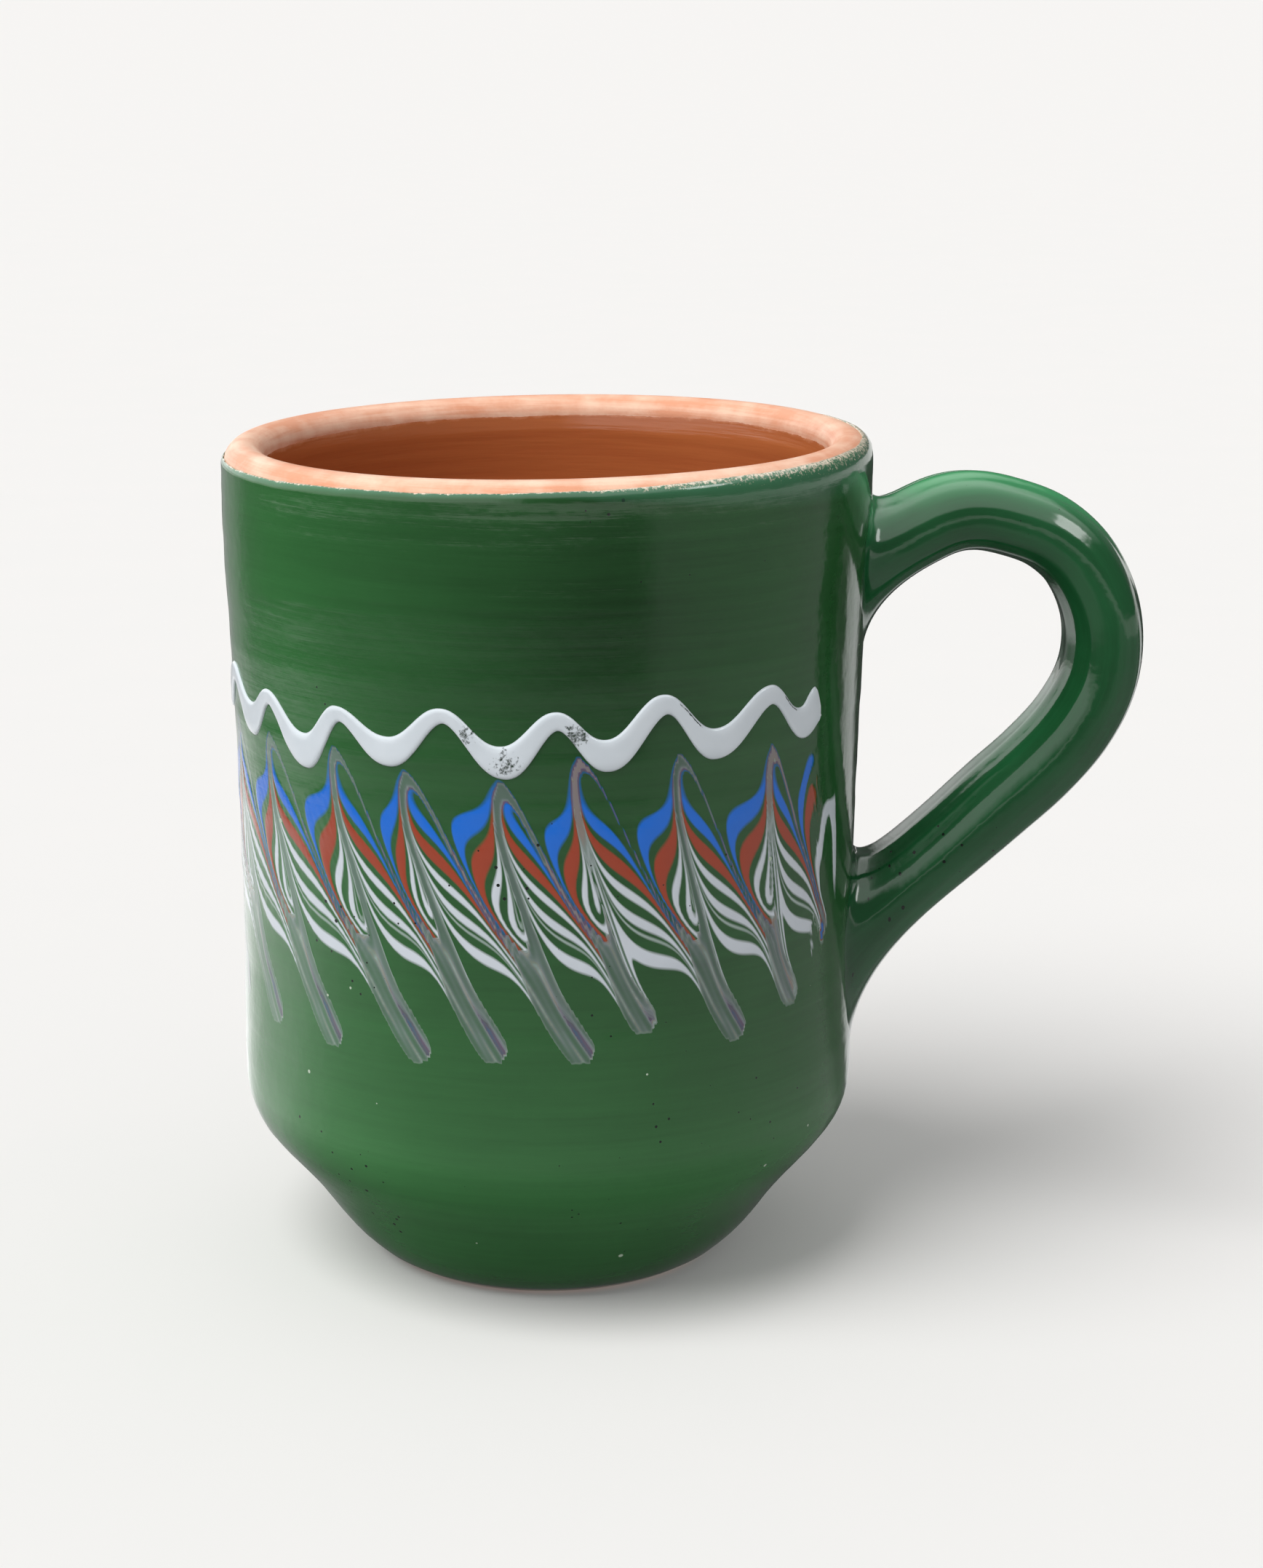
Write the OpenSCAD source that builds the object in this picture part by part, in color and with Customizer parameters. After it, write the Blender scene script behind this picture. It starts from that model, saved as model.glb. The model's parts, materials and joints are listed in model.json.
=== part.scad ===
/* [Cup] */
// Height of the cup from the table to the top of the rim
cup_h = 115.6; // [104:0.2:130]
// Outer radius of the clay at the rim
rim_r = 43.6; // [38:0.2:50]
// How far the wall is drawn in at the belly, from the rim's radius
belly_in = 1.6; // [0:0.1:3]
// Height of the belly
belly_h = 45; // [40:1:60]
// How far the shoulder above the foot lies in from the rim's radius
shoulder_in = 1.4; // [0:0.1:3]
// Height of the shoulder
shoulder_h = 26; // [20:1:32]
// Radius of the flat base that stands on the table
base_r = 22; // [16:0.5:26]
// Thickness of the wall
wall = 5; // [3.5:0.1:6.5]
// Thickness of the rim, which is left a little fuller than the wall
rim_t = 5.4; // [4:0.1:7]
// Thickness of the floor at its middle
floor_t = 7; // [5:0.5:9]

/* [Handle] */
// Distance from the wall to the furthest point of the strap's middle line
handle_reach = 33.6; // [26:0.2:42]
// How far the highest point of the strap's middle line lies below the rim
handle_top_drop = 11.1; // [8:0.1:16]
// Height at which the strap's middle line runs into the wall at its lower end
handle_low_h = 46.5; // [42:0.5:58]
// Thickness of the strap across the finger gap
strap_t = 10; // [7:0.2:12]
// Width of the strap across the hand
strap_w = 16.5; // [12:0.5:22]
// How far the upper joint's clay is smoothed up the wall past the strap
upper_spread_up = 1.2; // [0.8:0.2:3]
// How far the upper joint's clay is smoothed down the wall past the strap
upper_spread_down = 6.4; // [3:0.2:10]
// How far the lower joint's clay is smoothed up the wall past the strap
lower_spread_up = 3.4; // [2:0.2:6]
// How far the lower joint's clay is smoothed down the wall past the strap
lower_spread_down = 10.4; // [4:0.2:14]
// How far the clay of both joints is smoothed sideways past the strap
side_spread = 2.6; // [1:0.2:5]

/* [Glaze] */
// Thickness of the green coat outside
coat_t = 0.4; // [0.2:0.05:0.8]
// Thickness of the clear glaze inside
lining_t = 0.25; // [0.15:0.05:0.5]
// Bare clay left above the green coat, from the top of the rim down
bare_rim = 2.6; // [1.5:0.1:4]
// Bare clay left below the green coat at the table
bare_foot = 0.8; // [0.4:0.1:2]

/* [Slip] */
// How far the middle of the white wave line lies below the rim
wave_drop = 33.2; // [26:0.2:37]
// Rise of the wave line above and below its middle
wave_rise = 2.6; // [1.5:0.1:3.5]
// Width of the wave line
wave_w = 3.1; // [2:0.1:4]
// Height of the wave line above the green coat
wave_proud = 0.45; // [0.2:0.05:0.8]
// Gap between the lower edge of the wave line and the tips of the feathers
feather_gap = 0.6; // [0.4:0.1:3]
// Height of the lower ends of the feathers
feather_low_h = 39; // [34:0.2:46]
// Width of a full stroke of a feather
feather_w = 2; // [1.2:0.1:2.4]
// Height of the feathers above the green coat
feather_proud = 0.15; // [0.1:0.05:0.3]

/* [Hidden] */

// Radii and heights that follow the rim
belly_r = rim_r - belly_in;
shoulder_r = rim_r - shoulder_in;
handle_top_h = cup_h - handle_top_drop;
wave_h = cup_h - wave_drop;

// Outline of the foot, from the base up to the shoulder: share of the way out and of the way up
foot_shares = [[0, 0], [0.13, 0.045], [0.31, 0.2], [0.445, 0.36], [0.70, 0.6], [0.9, 0.8], [1, 1]];
// Outline of the hollow below the shoulder, from the floor's middle out and up to the inner wall
hollow_shares = [[0, 0], [0.45, 0.02], [0.72, 0.14], [0.9, 0.42], [0.98, 0.76], [1, 1]];
// Height at which the wall reaches its full rim radius, as a share of the cup's height
lip_share = 0.87;
// Height at which the hollow reaches the straight inner wall, as a share of the shoulder's height
hollow_top_share = 1.3;
// The base's lower edge is broken by this much
base_break = 0.6;

// Middle line of the strap from its upper to its lower end, which run straight on into the wall:
// share of the reach, share of the height between the ends, shares of the thickness and the width
strap_shares = [
    [0.14, 0.942, 0.98, 1.05],
    [0.3, 0.988, 0.97, 1.01],
    [0.43, 1, 0.96, 0.98],
    [0.57, 0.986, 0.95, 0.96],
    [0.726, 0.952, 0.95, 0.95],
    [0.86, 0.888, 0.96, 0.95],
    [0.958, 0.795, 0.97, 0.95],
    [1, 0.693, 0.99, 0.95],
    [0.982, 0.588, 1.02, 0.95],
    [0.896, 0.483, 1.05, 0.95],
    [0.762, 0.388, 1.07, 0.96],
    [0.601, 0.3, 1.07, 0.98],
    [0.411, 0.197, 1.03, 1],
    [0.23, 0.105, 1, 1.05]
];
strap_sides = 24;
strap_steps = 2;
// Steps of the hollow curve of a joint's clay, and of its seat on the wall
fillet_steps = 6;
seat_steps = 3;

// Steps on each span of a smooth outline and round the rim
span_steps = 4;
rim_steps = 12;
// Cutting shapes reach this far past what they cut
overrun = 1;

// Turns about the cup's axis, in degrees from the front towards the handle, which is at 90
band_first_deg = -233;
wave_last_deg = 53;
wave_peak_deg = 41.2;
wave_pitch_deg = 19.8;
wave_steps = 8;
wave_end_share = 0.35;
feather_last_deg = 43.6;
feather_pitch_deg = 16.9;
feather_count = 17;
// Slip lies this far off the green coat, so that its flat facets clear the round wall
slip_seat = 0.04;
// The edge of a line of slip is this share of its full height
edge_share = 0.4;

// Strokes of one feather, on the left and on the right of its tip:
// degrees from the tip, share of the feathers' height, share of a full stroke's width
blue_shares = [
    [[-1.9, 0.96, 0.2], [-2.4, 0.87, 0.6], [-4.3, 0.8, 1], [-5.4, 0.72, 0.6], [-4.4, 0.64, 0.3], [-3.4, 0.58, 0.15]],
    [[1.6, 0.92, 0.3], [2.6, 0.86, 0.8], [4.8, 0.78, 0.75], [7.4, 0.71, 0.45], [10.4, 0.64, 0.2]]
];
red_shares = [
    [[-1.1, 0.86, 0.2], [-1.9, 0.74, 1], [-0.9, 0.61, 0.85], [0.7, 0.49, 0.55], [2.4, 0.4, 0.25]],
    [[3, 0.76, 0.3], [5.4, 0.69, 0.9], [8.4, 0.62, 0.8], [11.6, 0.55, 0.3]]
];
white_shares = [
    [[0.4, 0.97, 0.2], [0.4, 0.79, 0.35], [1.3, 0.64, 0.5], [2.6, 0.52, 0.45], [4.3, 0.42, 0.3], [5.4, 0.36, 0.15]],
    [[2.1, 0.71, 0.3], [4.4, 0.61, 0.5], [7.8, 0.53, 0.8], [11.4, 0.465, 0.5], [14.4, 0.39, 0.25]],
    [[4.8, 0.49, 0.3], [7.2, 0.44, 0.7], [10, 0.39, 0.8], [13, 0.345, 0.3]],
    [[7.2, 0.36, 0.3], [9.6, 0.31, 0.8], [12.6, 0.27, 0.9], [15.2, 0.23, 0.3]]
];
pale_shares = [
    [[4.6, 0.27, 0.6], [7.4, 0.19, 1.3], [10.6, 0.11, 1.5], [13.6, 0.04, 1.5], [15.2, 0.01, 0.8]]
];

// Points on a smooth curve through p, with n steps to a span
function bend(a, b, c, d, t) =
    (2 * b + (c - a) * t + (2 * a - 5 * b + 4 * c - d) * t * t + (3 * b - a - 3 * c + d) * t * t * t) / 2;
function last(p) = p[len(p) - 1];
function smooth(p, n) = [
    for (i = [0 : len(p) - 2], k = [0 : n - 1])
        bend(p[max(i - 1, 0)], p[i], p[i + 1], p[min(i + 2, len(p) - 1)], k / n),
    last(p)
];
function unit(v) = v / norm(v);
function flip(p) = [for (i = [len(p) - 1 : -1 : 0]) p[i]];
function mix(p, q, t) = [for (i = [0 : len(p) - 1]) p[i] + (q[i] - p[i]) * t];
function between(p, low, high) = [for (q = p) if (q[1] > low && q[1] < high) q];

// Outlines of the clay as radius and height: outside from the base up, over the rim, and inside
// from the middle of the floor up
rim_round = rim_t / 2;
rim_base = cup_h - rim_round;
mid_line = [(belly_r + rim_r) / 2, (belly_h + lip_share * cup_h) / 2];
outer_line = smooth(concat(
    [for (s = foot_shares) [base_r + s[0] * (shoulder_r - base_r), s[1] * shoulder_h]],
    [[belly_r, belly_h], mid_line, [rim_r, lip_share * cup_h], [rim_r, rim_base]]
), span_steps);
rim_line = [
    for (i = [1 : rim_steps - 1]) let (a = 180 * i / rim_steps)
        [rim_r - rim_round + rim_round * cos(a), rim_base + rim_round * sin(a)]
];
hollow_r = belly_r - wall;
hollow_top = hollow_top_share * shoulder_h;
inner_line = smooth(concat(
    [for (s = hollow_shares) [s[0] * hollow_r, floor_t + s[1] * (hollow_top - floor_t)]],
    [mid_line - [wall, 0], [rim_r - rim_t, lip_share * cup_h], [rim_r - rim_t, rim_base]]
), span_steps);

// A line moved sideways by d, to its right as it runs
function side(p, i) =
    let (t = unit(p[min(i + 1, len(p) - 1)] - p[max(i - 1, 0)])) [t[1], -t[0]];
function moved(p, d) = [for (i = [0 : len(p) - 1]) p[i] + d * side(p, i)];

// Radius of the clay outside at a height, and the heights of the glazes' edges
clay_table = [for (q = outer_line) [q[1], q[0]]];
function clay_r(z) = lookup(z, clay_table);
coat_low = bare_foot;
coat_high = cup_h - bare_rim;
function at_height(p, z) = [p[0], z];
function level_ends(p) = concat(
    [at_height(p[0], coat_low)],
    [for (i = [1 : len(p) - 2]) p[i]],
    [at_height(last(p), coat_high)]);

// The point of the wall at height z and sideways place y on the handle's side, or lift above it
function on_wall(y, z, lift) = [sqrt(pow(clay_r(z) + lift, 2) - y * y), y, z];

// Rings of the strap, each square to its middle line
strap_line = smooth([
    for (s = strap_shares) let (z = handle_low_h + s[1] * (handle_top_h - handle_low_h))
        [clay_r(z) + s[0] * handle_reach, z, s[2] * strap_t / 2, s[3] * strap_w / 2]
], strap_steps);
strap_end = len(strap_line) - 1;
function way(i) =
    let (p = strap_line[max(i - 1, 0)], q = strap_line[min(i + 1, strap_end)])
        unit([q[0] - p[0], q[1] - p[1]]);
function corner(k) = 360 * k / strap_sides;
function strap_ring(i, grow) = let (p = strap_line[i], t = way(i)) [
    for (k = [0 : strap_sides - 1]) let (d = (p[2] + grow) * cos(corner(k)))
        [p[0] - t[1] * d, (p[3] + grow) * sin(corner(k)), p[1] + t[0] * d]
];
// A ring carried along the strap's end until it meets the wall
function carried(p, t, lift) = let (x = on_wall(p[1], p[2], lift)[0]) p[2] + (x - p[0]) * t[1] / t[0];
function end_ring(i, grow, lift) = [
    for (p = strap_ring(i, grow)) on_wall(p[1], carried(p, way(i), lift), lift)
];

// Edge of a joint's clay on the wall: the strap's end ring spread outward and inward of the loop
function foot_ring(i, out, into, grow, lift) =
    let (e = end_ring(i, 0, 0), up = i == 0 ? 1 : -1)
    [for (k = [0 : strap_sides - 1]) let (c = cos(corner(k)), s = sin(corner(k)))
        on_wall(e[k][1] + (side_spread + grow) * s,
            e[k][2] + up * ((c > 0 ? out : into) + grow) * c, lift)];
function upper_foot(grow, lift) = foot_ring(0, upper_spread_up, upper_spread_down, grow, lift);
function lower_foot(grow, lift) = foot_ring(strap_end, lower_spread_down, lower_spread_up, grow, lift);

// Rings of the hollow curve from a joint's edge on the wall to the strap's ring next to its end
function fillet(edge, i, end_i, grow) =
    let (c = end_ring(end_i, grow, coat_t), a = strap_ring(i, grow))
    [for (n = [0 : fillet_steps - 1]) let (t = n / fillet_steps)
        mix(mix(edge, c, t), mix(c, a, t), t)];
function upper_fillet(grow) = fillet(upper_foot(grow, coat_t), 1, 0, grow);
function lower_fillet(grow) = fillet(lower_foot(grow, coat_t), strap_end - 1, strap_end, grow);

// Rings on the clay wall between two rings that lie on it
function seat(p, q) = [
    for (n = [1 : seat_steps - 1])
        [for (m = mix(p, q, n / seat_steps)) on_wall(m[1], m[2], 0)]
];
function wall_middle(r) = on_wall(0, (r[0][2] + r[strap_sides / 2][2]) / 2, 0);

// Faces between two rings of n points, each split along its shorter diagonal
function band(points, i, j, n) = [
    for (k = [0 : n - 1])
        let (a = i * n + k, b = i * n + (k + 1) % n, c = j * n + k, d = j * n + (k + 1) % n)
        each norm(points[a] - points[d]) < norm(points[b] - points[c])
            ? [[a, c, d], [a, d, b]]
            : [[a, c, b], [c, d, b]]
];

// A solid whose skin runs through a list of rings and back to the first
module ring_loop(rings) {
    m = len(rings);
    points = [for (r = rings) each r];
    polyhedron(points, [for (i = [0 : m - 1]) each band(points, i, (i + 1) % m, len(rings[0]))]);
}

// A solid whose skin runs through a list of rings and closes on a point at each end
module ring_tube(rings, head, tail) {
    m = len(rings);
    n = len(rings[0]);
    points = concat([for (r = rings) each r], [head, tail]);
    fans = [
        for (k = [0 : n - 1]) each [
            [m * n, k, (k + 1) % n],
            [m * n + 1, (m - 1) * n + (k + 1) % n, (m - 1) * n + k]
        ]
    ];
    polyhedron(points, concat([for (i = [0 : m - 2]) each band(points, i, i + 1, n)], fans));
}

// A line of slip that lies on the coat, along rows of turn, height and the two offsets across it
function slip_point(deg, z, lift) =
    let (r = clay_r(z) + coat_t + slip_seat + lift) [r * sin(deg), -r * cos(deg), z];
function slip_ring(row, proud) = let (d = row[2], h = row[3]) [
    slip_point(row[0] - d, row[1] - h, 0),
    slip_point(row[0], row[1], 0),
    slip_point(row[0] + d, row[1] + h, 0),
    slip_point(row[0] + d, row[1] + h, edge_share * proud),
    slip_point(row[0], row[1], proud),
    slip_point(row[0] - d, row[1] - h, edge_share * proud)
];
module slip_line(rows, proud) {
    rings = [for (row = rows) slip_ring(row, proud)];
    ring_tube(rings, (rings[0][1] + rings[0][4]) / 2, (last(rings)[1] + last(rings)[4]) / 2);
}

// Millimetres round the coat for one degree of turn
function arc_mm(z) = PI * (clay_r(z) + coat_t) / 180;

// The tips of the feathers stay clear of the wave line
feather_top_h = wave_h - wave_rise - (wave_w + feather_w) / 2 - feather_gap;

// Rows of a stroke, which is as wide as its share says square to the way that it runs
function stroke_rows(shares, tip_deg) =
    let (p = [for (s = shares)
        [tip_deg + s[0], feather_low_h + s[1] * (feather_top_h - feather_low_h), s[2] * feather_w / 2]])
    [for (i = [0 : len(p) - 1])
        let (a = p[max(i - 1, 0)], b = p[min(i + 1, len(p) - 1)], mm = arc_mm(p[i][1]))
        let (t = unit([(b[0] - a[0]) * mm, b[1] - a[1]]))
        [p[i][0], p[i][1], -t[1] * p[i][2] / mm, t[0] * p[i][2]]];
module strokes(stroke_shares) {
    for (n = [0 : feather_count - 1], shares = stroke_shares)
        slip_line(stroke_rows(shares, feather_last_deg - n * feather_pitch_deg), feather_proud);
}

module clay_body() {
    base_edge = [[0, 0], [base_r - base_break, 0], [clay_r(base_break), base_break]];
    color("peru")
        rotate_extrude($fn = 96)
            polygon(concat(
                base_edge, between(outer_line, base_break, cup_h), rim_line, flip(inner_line)));
}

module handle() {
    top_ring = end_ring(0, 0, 0);
    low_ring = end_ring(strap_end, 0, 0);
    top_middle = wall_middle(top_ring);
    low_middle = wall_middle(low_ring);
    rings = concat(
        seat([for (p = top_ring) top_middle], top_ring),
        [top_ring],
        [for (i = [1 : strap_end - 1]) strap_ring(i, 0)],
        [low_ring],
        seat(low_ring, [for (p = low_ring) low_middle]));
    color("sienna")
        ring_tube(rings, top_middle, low_middle);
}

module upper_joint_clay() {
    edge = upper_foot(0, 0);
    end = end_ring(0, 0, 0);
    color("chocolate")
        ring_loop(concat([edge], upper_fillet(0), [strap_ring(1, 0), end], seat(end, edge)));
}

module lower_joint_clay() {
    edge = lower_foot(0, 0);
    end = end_ring(strap_end, 0, 0);
    color("chocolate")
        ring_loop(concat(
            [end, strap_ring(strap_end - 1, 0)], flip(lower_fillet(0)), [edge], seat(edge, end)));
}

// Opening in the body's coat where the clay of a joint sits on the wall
module joint_window(edge) {
    rotate([90, 0, 90])
        linear_extrude(max(rim_r, belly_r, shoulder_r) + coat_t + overrun)
            polygon([for (p = edge) [p[1], p[2]]]);
}

module body_glaze() {
    under = concat(
        [[clay_r(coat_low), coat_low]],
        between(outer_line, coat_low, coat_high),
        [[clay_r(coat_high), coat_high]]);
    color("darkgreen")
        difference() {
            rotate_extrude($fn = 96)
                polygon(concat(under, flip(level_ends(moved(under, coat_t)))));
            joint_window(upper_foot(0, 0));
            joint_window(lower_foot(0, 0));
        }
}

module handle_glaze() {
    function skin(grow) = concat(
        upper_fillet(grow),
        [for (i = [1 : strap_end - 1]) strap_ring(i, grow)],
        flip(lower_fillet(grow)));
    color("forestgreen")
        ring_loop(concat(skin(coat_t), flip(skin(0))));
}

module inner_glaze() {
    face = [for (q = moved(inner_line, -lining_t)) [max(q[0], 0), q[1]]];
    color("saddlebrown")
        rotate_extrude($fn = 96)
            polygon(concat(flip(inner_line), face));
}

module white_wave() {
    function phase(deg) = 360 * (deg - wave_peak_deg) / wave_pitch_deg;
    step = wave_pitch_deg / wave_steps;
    count = floor((wave_last_deg - band_first_deg) / step);
    rows = [
        for (i = [0 : count])
            let (deg = wave_last_deg - i * step, end = i == 0 || i == count ? wave_end_share : 1)
            [deg, wave_h + wave_rise * cos(phase(deg)), 0,
                -end * (1 + edge_share * pow(sin(phase(deg)), 2)) * wave_w / 2]
    ];
    color("white")
        slip_line(rows, wave_proud);
}

module blue_slip() {
    color("royalblue")
        strokes(blue_shares);
}

module red_slip() {
    color("firebrick")
        strokes(red_shares);
}

module white_slip() {
    color("snow")
        strokes(white_shares);
}

module pale_slip() {
    color("darkseagreen")
        strokes(pale_shares);
}

clay_body();
handle();
upper_joint_clay();
lower_joint_clay();
body_glaze();
handle_glaze();
inner_glaze();
white_wave();
blue_slip();
red_slip();
white_slip();
pale_slip();
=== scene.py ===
import json
import math

import bpy
import numpy as np
from mathutils import Matrix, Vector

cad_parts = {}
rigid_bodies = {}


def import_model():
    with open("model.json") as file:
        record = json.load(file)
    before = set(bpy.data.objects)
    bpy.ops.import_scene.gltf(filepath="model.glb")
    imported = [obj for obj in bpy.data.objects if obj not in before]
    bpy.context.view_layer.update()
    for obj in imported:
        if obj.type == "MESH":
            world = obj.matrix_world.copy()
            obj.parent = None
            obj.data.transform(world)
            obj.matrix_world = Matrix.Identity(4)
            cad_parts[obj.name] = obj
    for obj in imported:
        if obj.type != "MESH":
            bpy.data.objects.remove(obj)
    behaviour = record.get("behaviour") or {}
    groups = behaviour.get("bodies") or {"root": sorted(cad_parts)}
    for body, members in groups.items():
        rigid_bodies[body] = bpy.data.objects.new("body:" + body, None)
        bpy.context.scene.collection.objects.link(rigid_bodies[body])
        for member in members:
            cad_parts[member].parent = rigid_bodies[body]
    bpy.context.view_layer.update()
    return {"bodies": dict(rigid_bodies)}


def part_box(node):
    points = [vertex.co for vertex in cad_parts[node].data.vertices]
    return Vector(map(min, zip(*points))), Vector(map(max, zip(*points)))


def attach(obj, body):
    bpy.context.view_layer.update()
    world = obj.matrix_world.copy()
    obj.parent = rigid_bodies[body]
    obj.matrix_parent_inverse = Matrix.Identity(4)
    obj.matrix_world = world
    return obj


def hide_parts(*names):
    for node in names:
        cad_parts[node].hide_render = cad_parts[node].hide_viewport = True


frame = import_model()

# Sizes are in millimetres unless a comment says otherwise, and turns are in degrees about the cup's
# axis, from the front towards the handle, which is at 90
MM = 0.001
CUP_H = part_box("clay_body")[1].z / MM

# Outline of the green coat on the wall: height and radius
COAT_OUTLINE = [
    (0, 22.3), (1.2, 24.7), (3, 27.0), (5, 28.9), (7, 30.5), (9, 31.9), (11, 33.3), (13, 34.9), (15, 36.6),
    (17.5, 38.8), (20, 40.7), (22.5, 42.0), (26, 42.6), (35, 42.6), (45, 42.4), (65, 42.6), (85, 43.2),
    (100, 43.9), (112, 44.0), (120, 44.0),
]
# Outline of the hollow from near the rim down to the middle of the floor: radius and height
FLOOR_T = 7.0
HOLLOW = [
    (38.2, 110), (38.1, 100), (37.3, 72), (37.1, 45), (37, 33.8), (36.3, 27.4), (33.3, 18.3), (26.6, 10.8),
    (16.7, 7.6), (0, FLOOR_T),
]
COAT_T = 0.4
COAT_EDGE_T = 0.03
LINING_T = 0.25
RIM_ROUND = 2.7
RIM_OUT = 43.6
# The base's lower edge is broken by this much
BASE_BREAK = 0.6

# The rim is level in the drawing, but the thrown one leans down away from the handle by twice this much
RIM_LEAN = 0.62
LEAN_FROM = 92.0

# Throwing ridges: how far they stand out, their spacing, the rise of their spiral in one turn and its start
RIDGES = [(0.03, 9.7, 9.7, 0.4), (0.014, 5.3, 5.3, 2.0), (0.008, 3.1, 3.1, 4.1)]
# The ridges' middle lies this much inside the outline
RIDGE_SINK = 0.06
OUT_OF_ROUND = 0.14

# The decoration starts at this turn, round the back, and stops short of the handle on both sides
BAND_FIRST = -233.0
WALL_R = 42.9
# Each line of slip was stopped at its own turn: height of the line and turn
LINE_STOPS = [
    (50, 55), (57, 57), (60.8, 57), (61, 65.0), (64, 65.0), (64.6, 55.2), (67, 55.2), (69, 53.8), (73, 53.8),
]
# One white line runs up and hooks down at its end: turn, and how far it lies below its height there,
# which is less than nothing where it lies above
HOOK = [
    (55.4, 0.0), (57.4, -1.6), (59.2, -4.4), (61.0, -5.6), (62.8, -4.2), (64.2, 0.0), (65.4, 5.0),
    (66.6, 11.0),
]
# Height of that line, and the greatest height that counts as its slip
HOOK_LINE = 62.3
HOOK_MOST = 64.3
# The ends of the blue and the red line curl up by this much between these turns
END_RISE = 4.0
RISE_FROM = 49.0
RISE_TO = 55.4
# A stray dab of blue slip: turn and height, and half its width and half its height
DAB = (59.6, 51.0)
DAB_SIZE = (0.8, 1.7)

# The feathering point zigzags through the wet slip: down from each tip to an end, then up to the next tip
TIPS_SHOWN = [
    (-59.3, 79.0), (-40.7, 79.8), (-26.2, 78.0), (-9.4, 77.6), (4.0, 80.6), (21.8, 80.2), (41.3, 79.6),
]
ENDS_SHOWN = [
    (-23.6, 40.7), (-9.8, 41.5), (5.4, 41.4), (16.7, 45.0), (34.8, 42.2), (48.9, 44.6), (60.5, 52.0),
]
FEATHER_PITCH = 16.9
TIP_H = 79.4
END_H = 41.4
END_TURN = 33.5
# The way down as shares of the way from tip to end, across and down. The way up starts beside the last
# part of the way down, and its shares are of the way from there to the next tip
DOWN_SHARES = [
    (0, 0), (0.05, 0.02), (0.12, 0.07), (0.22, 0.18), (0.34, 0.33), (0.51, 0.53), (0.73, 0.74), (1, 1),
]
UP_SHARES = [
    (0, 0), (0.15, 0.10), (0.30, 0.22), (0.49, 0.36), (0.66, 0.50), (0.80, 0.62), (0.92, 0.74), (0.98, 0.87),
    (1, 1),
]
UP_FROM_SHARE = 0.84
UP_ASIDE = 1.5
# Height, and radius round the point within which it carries the slip whole. It presses harder lower down
DOWN_RADIUS = [(36, 1.8), (46, 1.9), (52, 1.4), (58, 0.6), (64, 0.15), (70, 0.3), (74, 0.3), (77, 0.03)]
UP_RADIUS = [(36, 0.2), (48, 0.25), (60, 0.3), (72, 0.25), (80, 0.2)]
# Height, and reach past that radius, which is longest where the slip is wettest
DOWN_REACH = [(36, 0.2), (46, 0.25), (54, 0.9), (64, 1.9), (72, 1.2), (78, 0.8)]
UP_REACH = [(36, 1.6), (60, 1.8), (67, 1.3), (72, 1.0), (80, 1.1)]
POINT_STEP = 0.4
# Slip has mixed over about this width, and near the tips over four times as much. No point shows more
# than BLUR_MOST of the lines' heights at once
SLIP_BLUR = 0.2
BLUR_MOST = 12.0
# Height where slip was left, and how far it was carried when it starts to be mud. It is all mud
# when it was carried MUDDY_OVER further
MUDDY_FROM = [(42.5, 0.5), (46, 5), (50, 12), (56, 26)]
MUDDY_OVER = 6.0
# Past this turn the strokes were quick and left little mud
CLEAR_FROM = 38.0
# Wavers of the trailed lines: how far up and down, their length along the wall and their start
TRAIL_WAVERS = [(0.3, 9, 0), (0.2, 3.7, 1)]
# What mud looks like, as a height among the lines and how much of the heights round it is mixed:
# where slip was pulled up far, on the right side of a stroke down, and at its end. Last the dab
MUD_RAISED = (66.6, 10.0)
MUD_BLUE = (73.7, 7.4)
MUD_RED = (66.0, 9.0)
DAB_SLIP = (71.2, 4.0)

# Lines of slip trailed round the wall before they are feathered: height, width and colour
SLIP_LINES = [
    (71.2, 2.7, "#1f6fd8"),
    (66.7, 3.2, "#a2432b"),
    (62.3, 2.0, "#d3dae2"),
    (57.8, 2.0, "#d3dae2"),
    (55.7, 0.4, "#b9c8c4"),
    (52.5, 2.0, "#d3dae2"),
]

# Turning points of the upper and the lower edge of the white wave: turn and height
WAVE_TOP = [
    (-65.4, 82.0), (-58.2, 84.7), (-47.3, 80.4), (-39.0, 84.9), (-28.5, 81.9), (-18.3, 86.2), (-8.2, 81.7),
    (1.3, 86.2), (9.5, 82.5), (19.5, 87.9), (29.6, 82.8), (41.2, 87.3), (49.2, 83.4), (53.5, 85.6),
    (56.4, 81.4),
]
WAVE_FOOT = [
    (-64.7, 77.4), (-57.7, 82.6), (-46.7, 75.6), (-38.1, 82.8), (-28.1, 77.9), (-17.9, 84.2), (-7.2, 77.3),
    (1.6, 83.7), (10.1, 78.2), (20.4, 85.2), (29.7, 78.6), (41.8, 84.6), (51.1, 78.9), (56.4, 81.2)
]
# Round the back: distance between crests, and heights of both edges at a trough and at a crest
WAVE_PITCH = 19.8
BACK_TROUGH = (81.9, 77.6)
BACK_CREST = (86.1, 83.6)
WAVE_PROUD = 0.45
# The wave's edges start this deep in the coat, and its underside lies deeper still
WAVE_SUNK = 0.04
WAVE_DEEP = 0.2
# How far the lines of slip stand out of the green coat
SLIP_PROUD = 0.07


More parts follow.
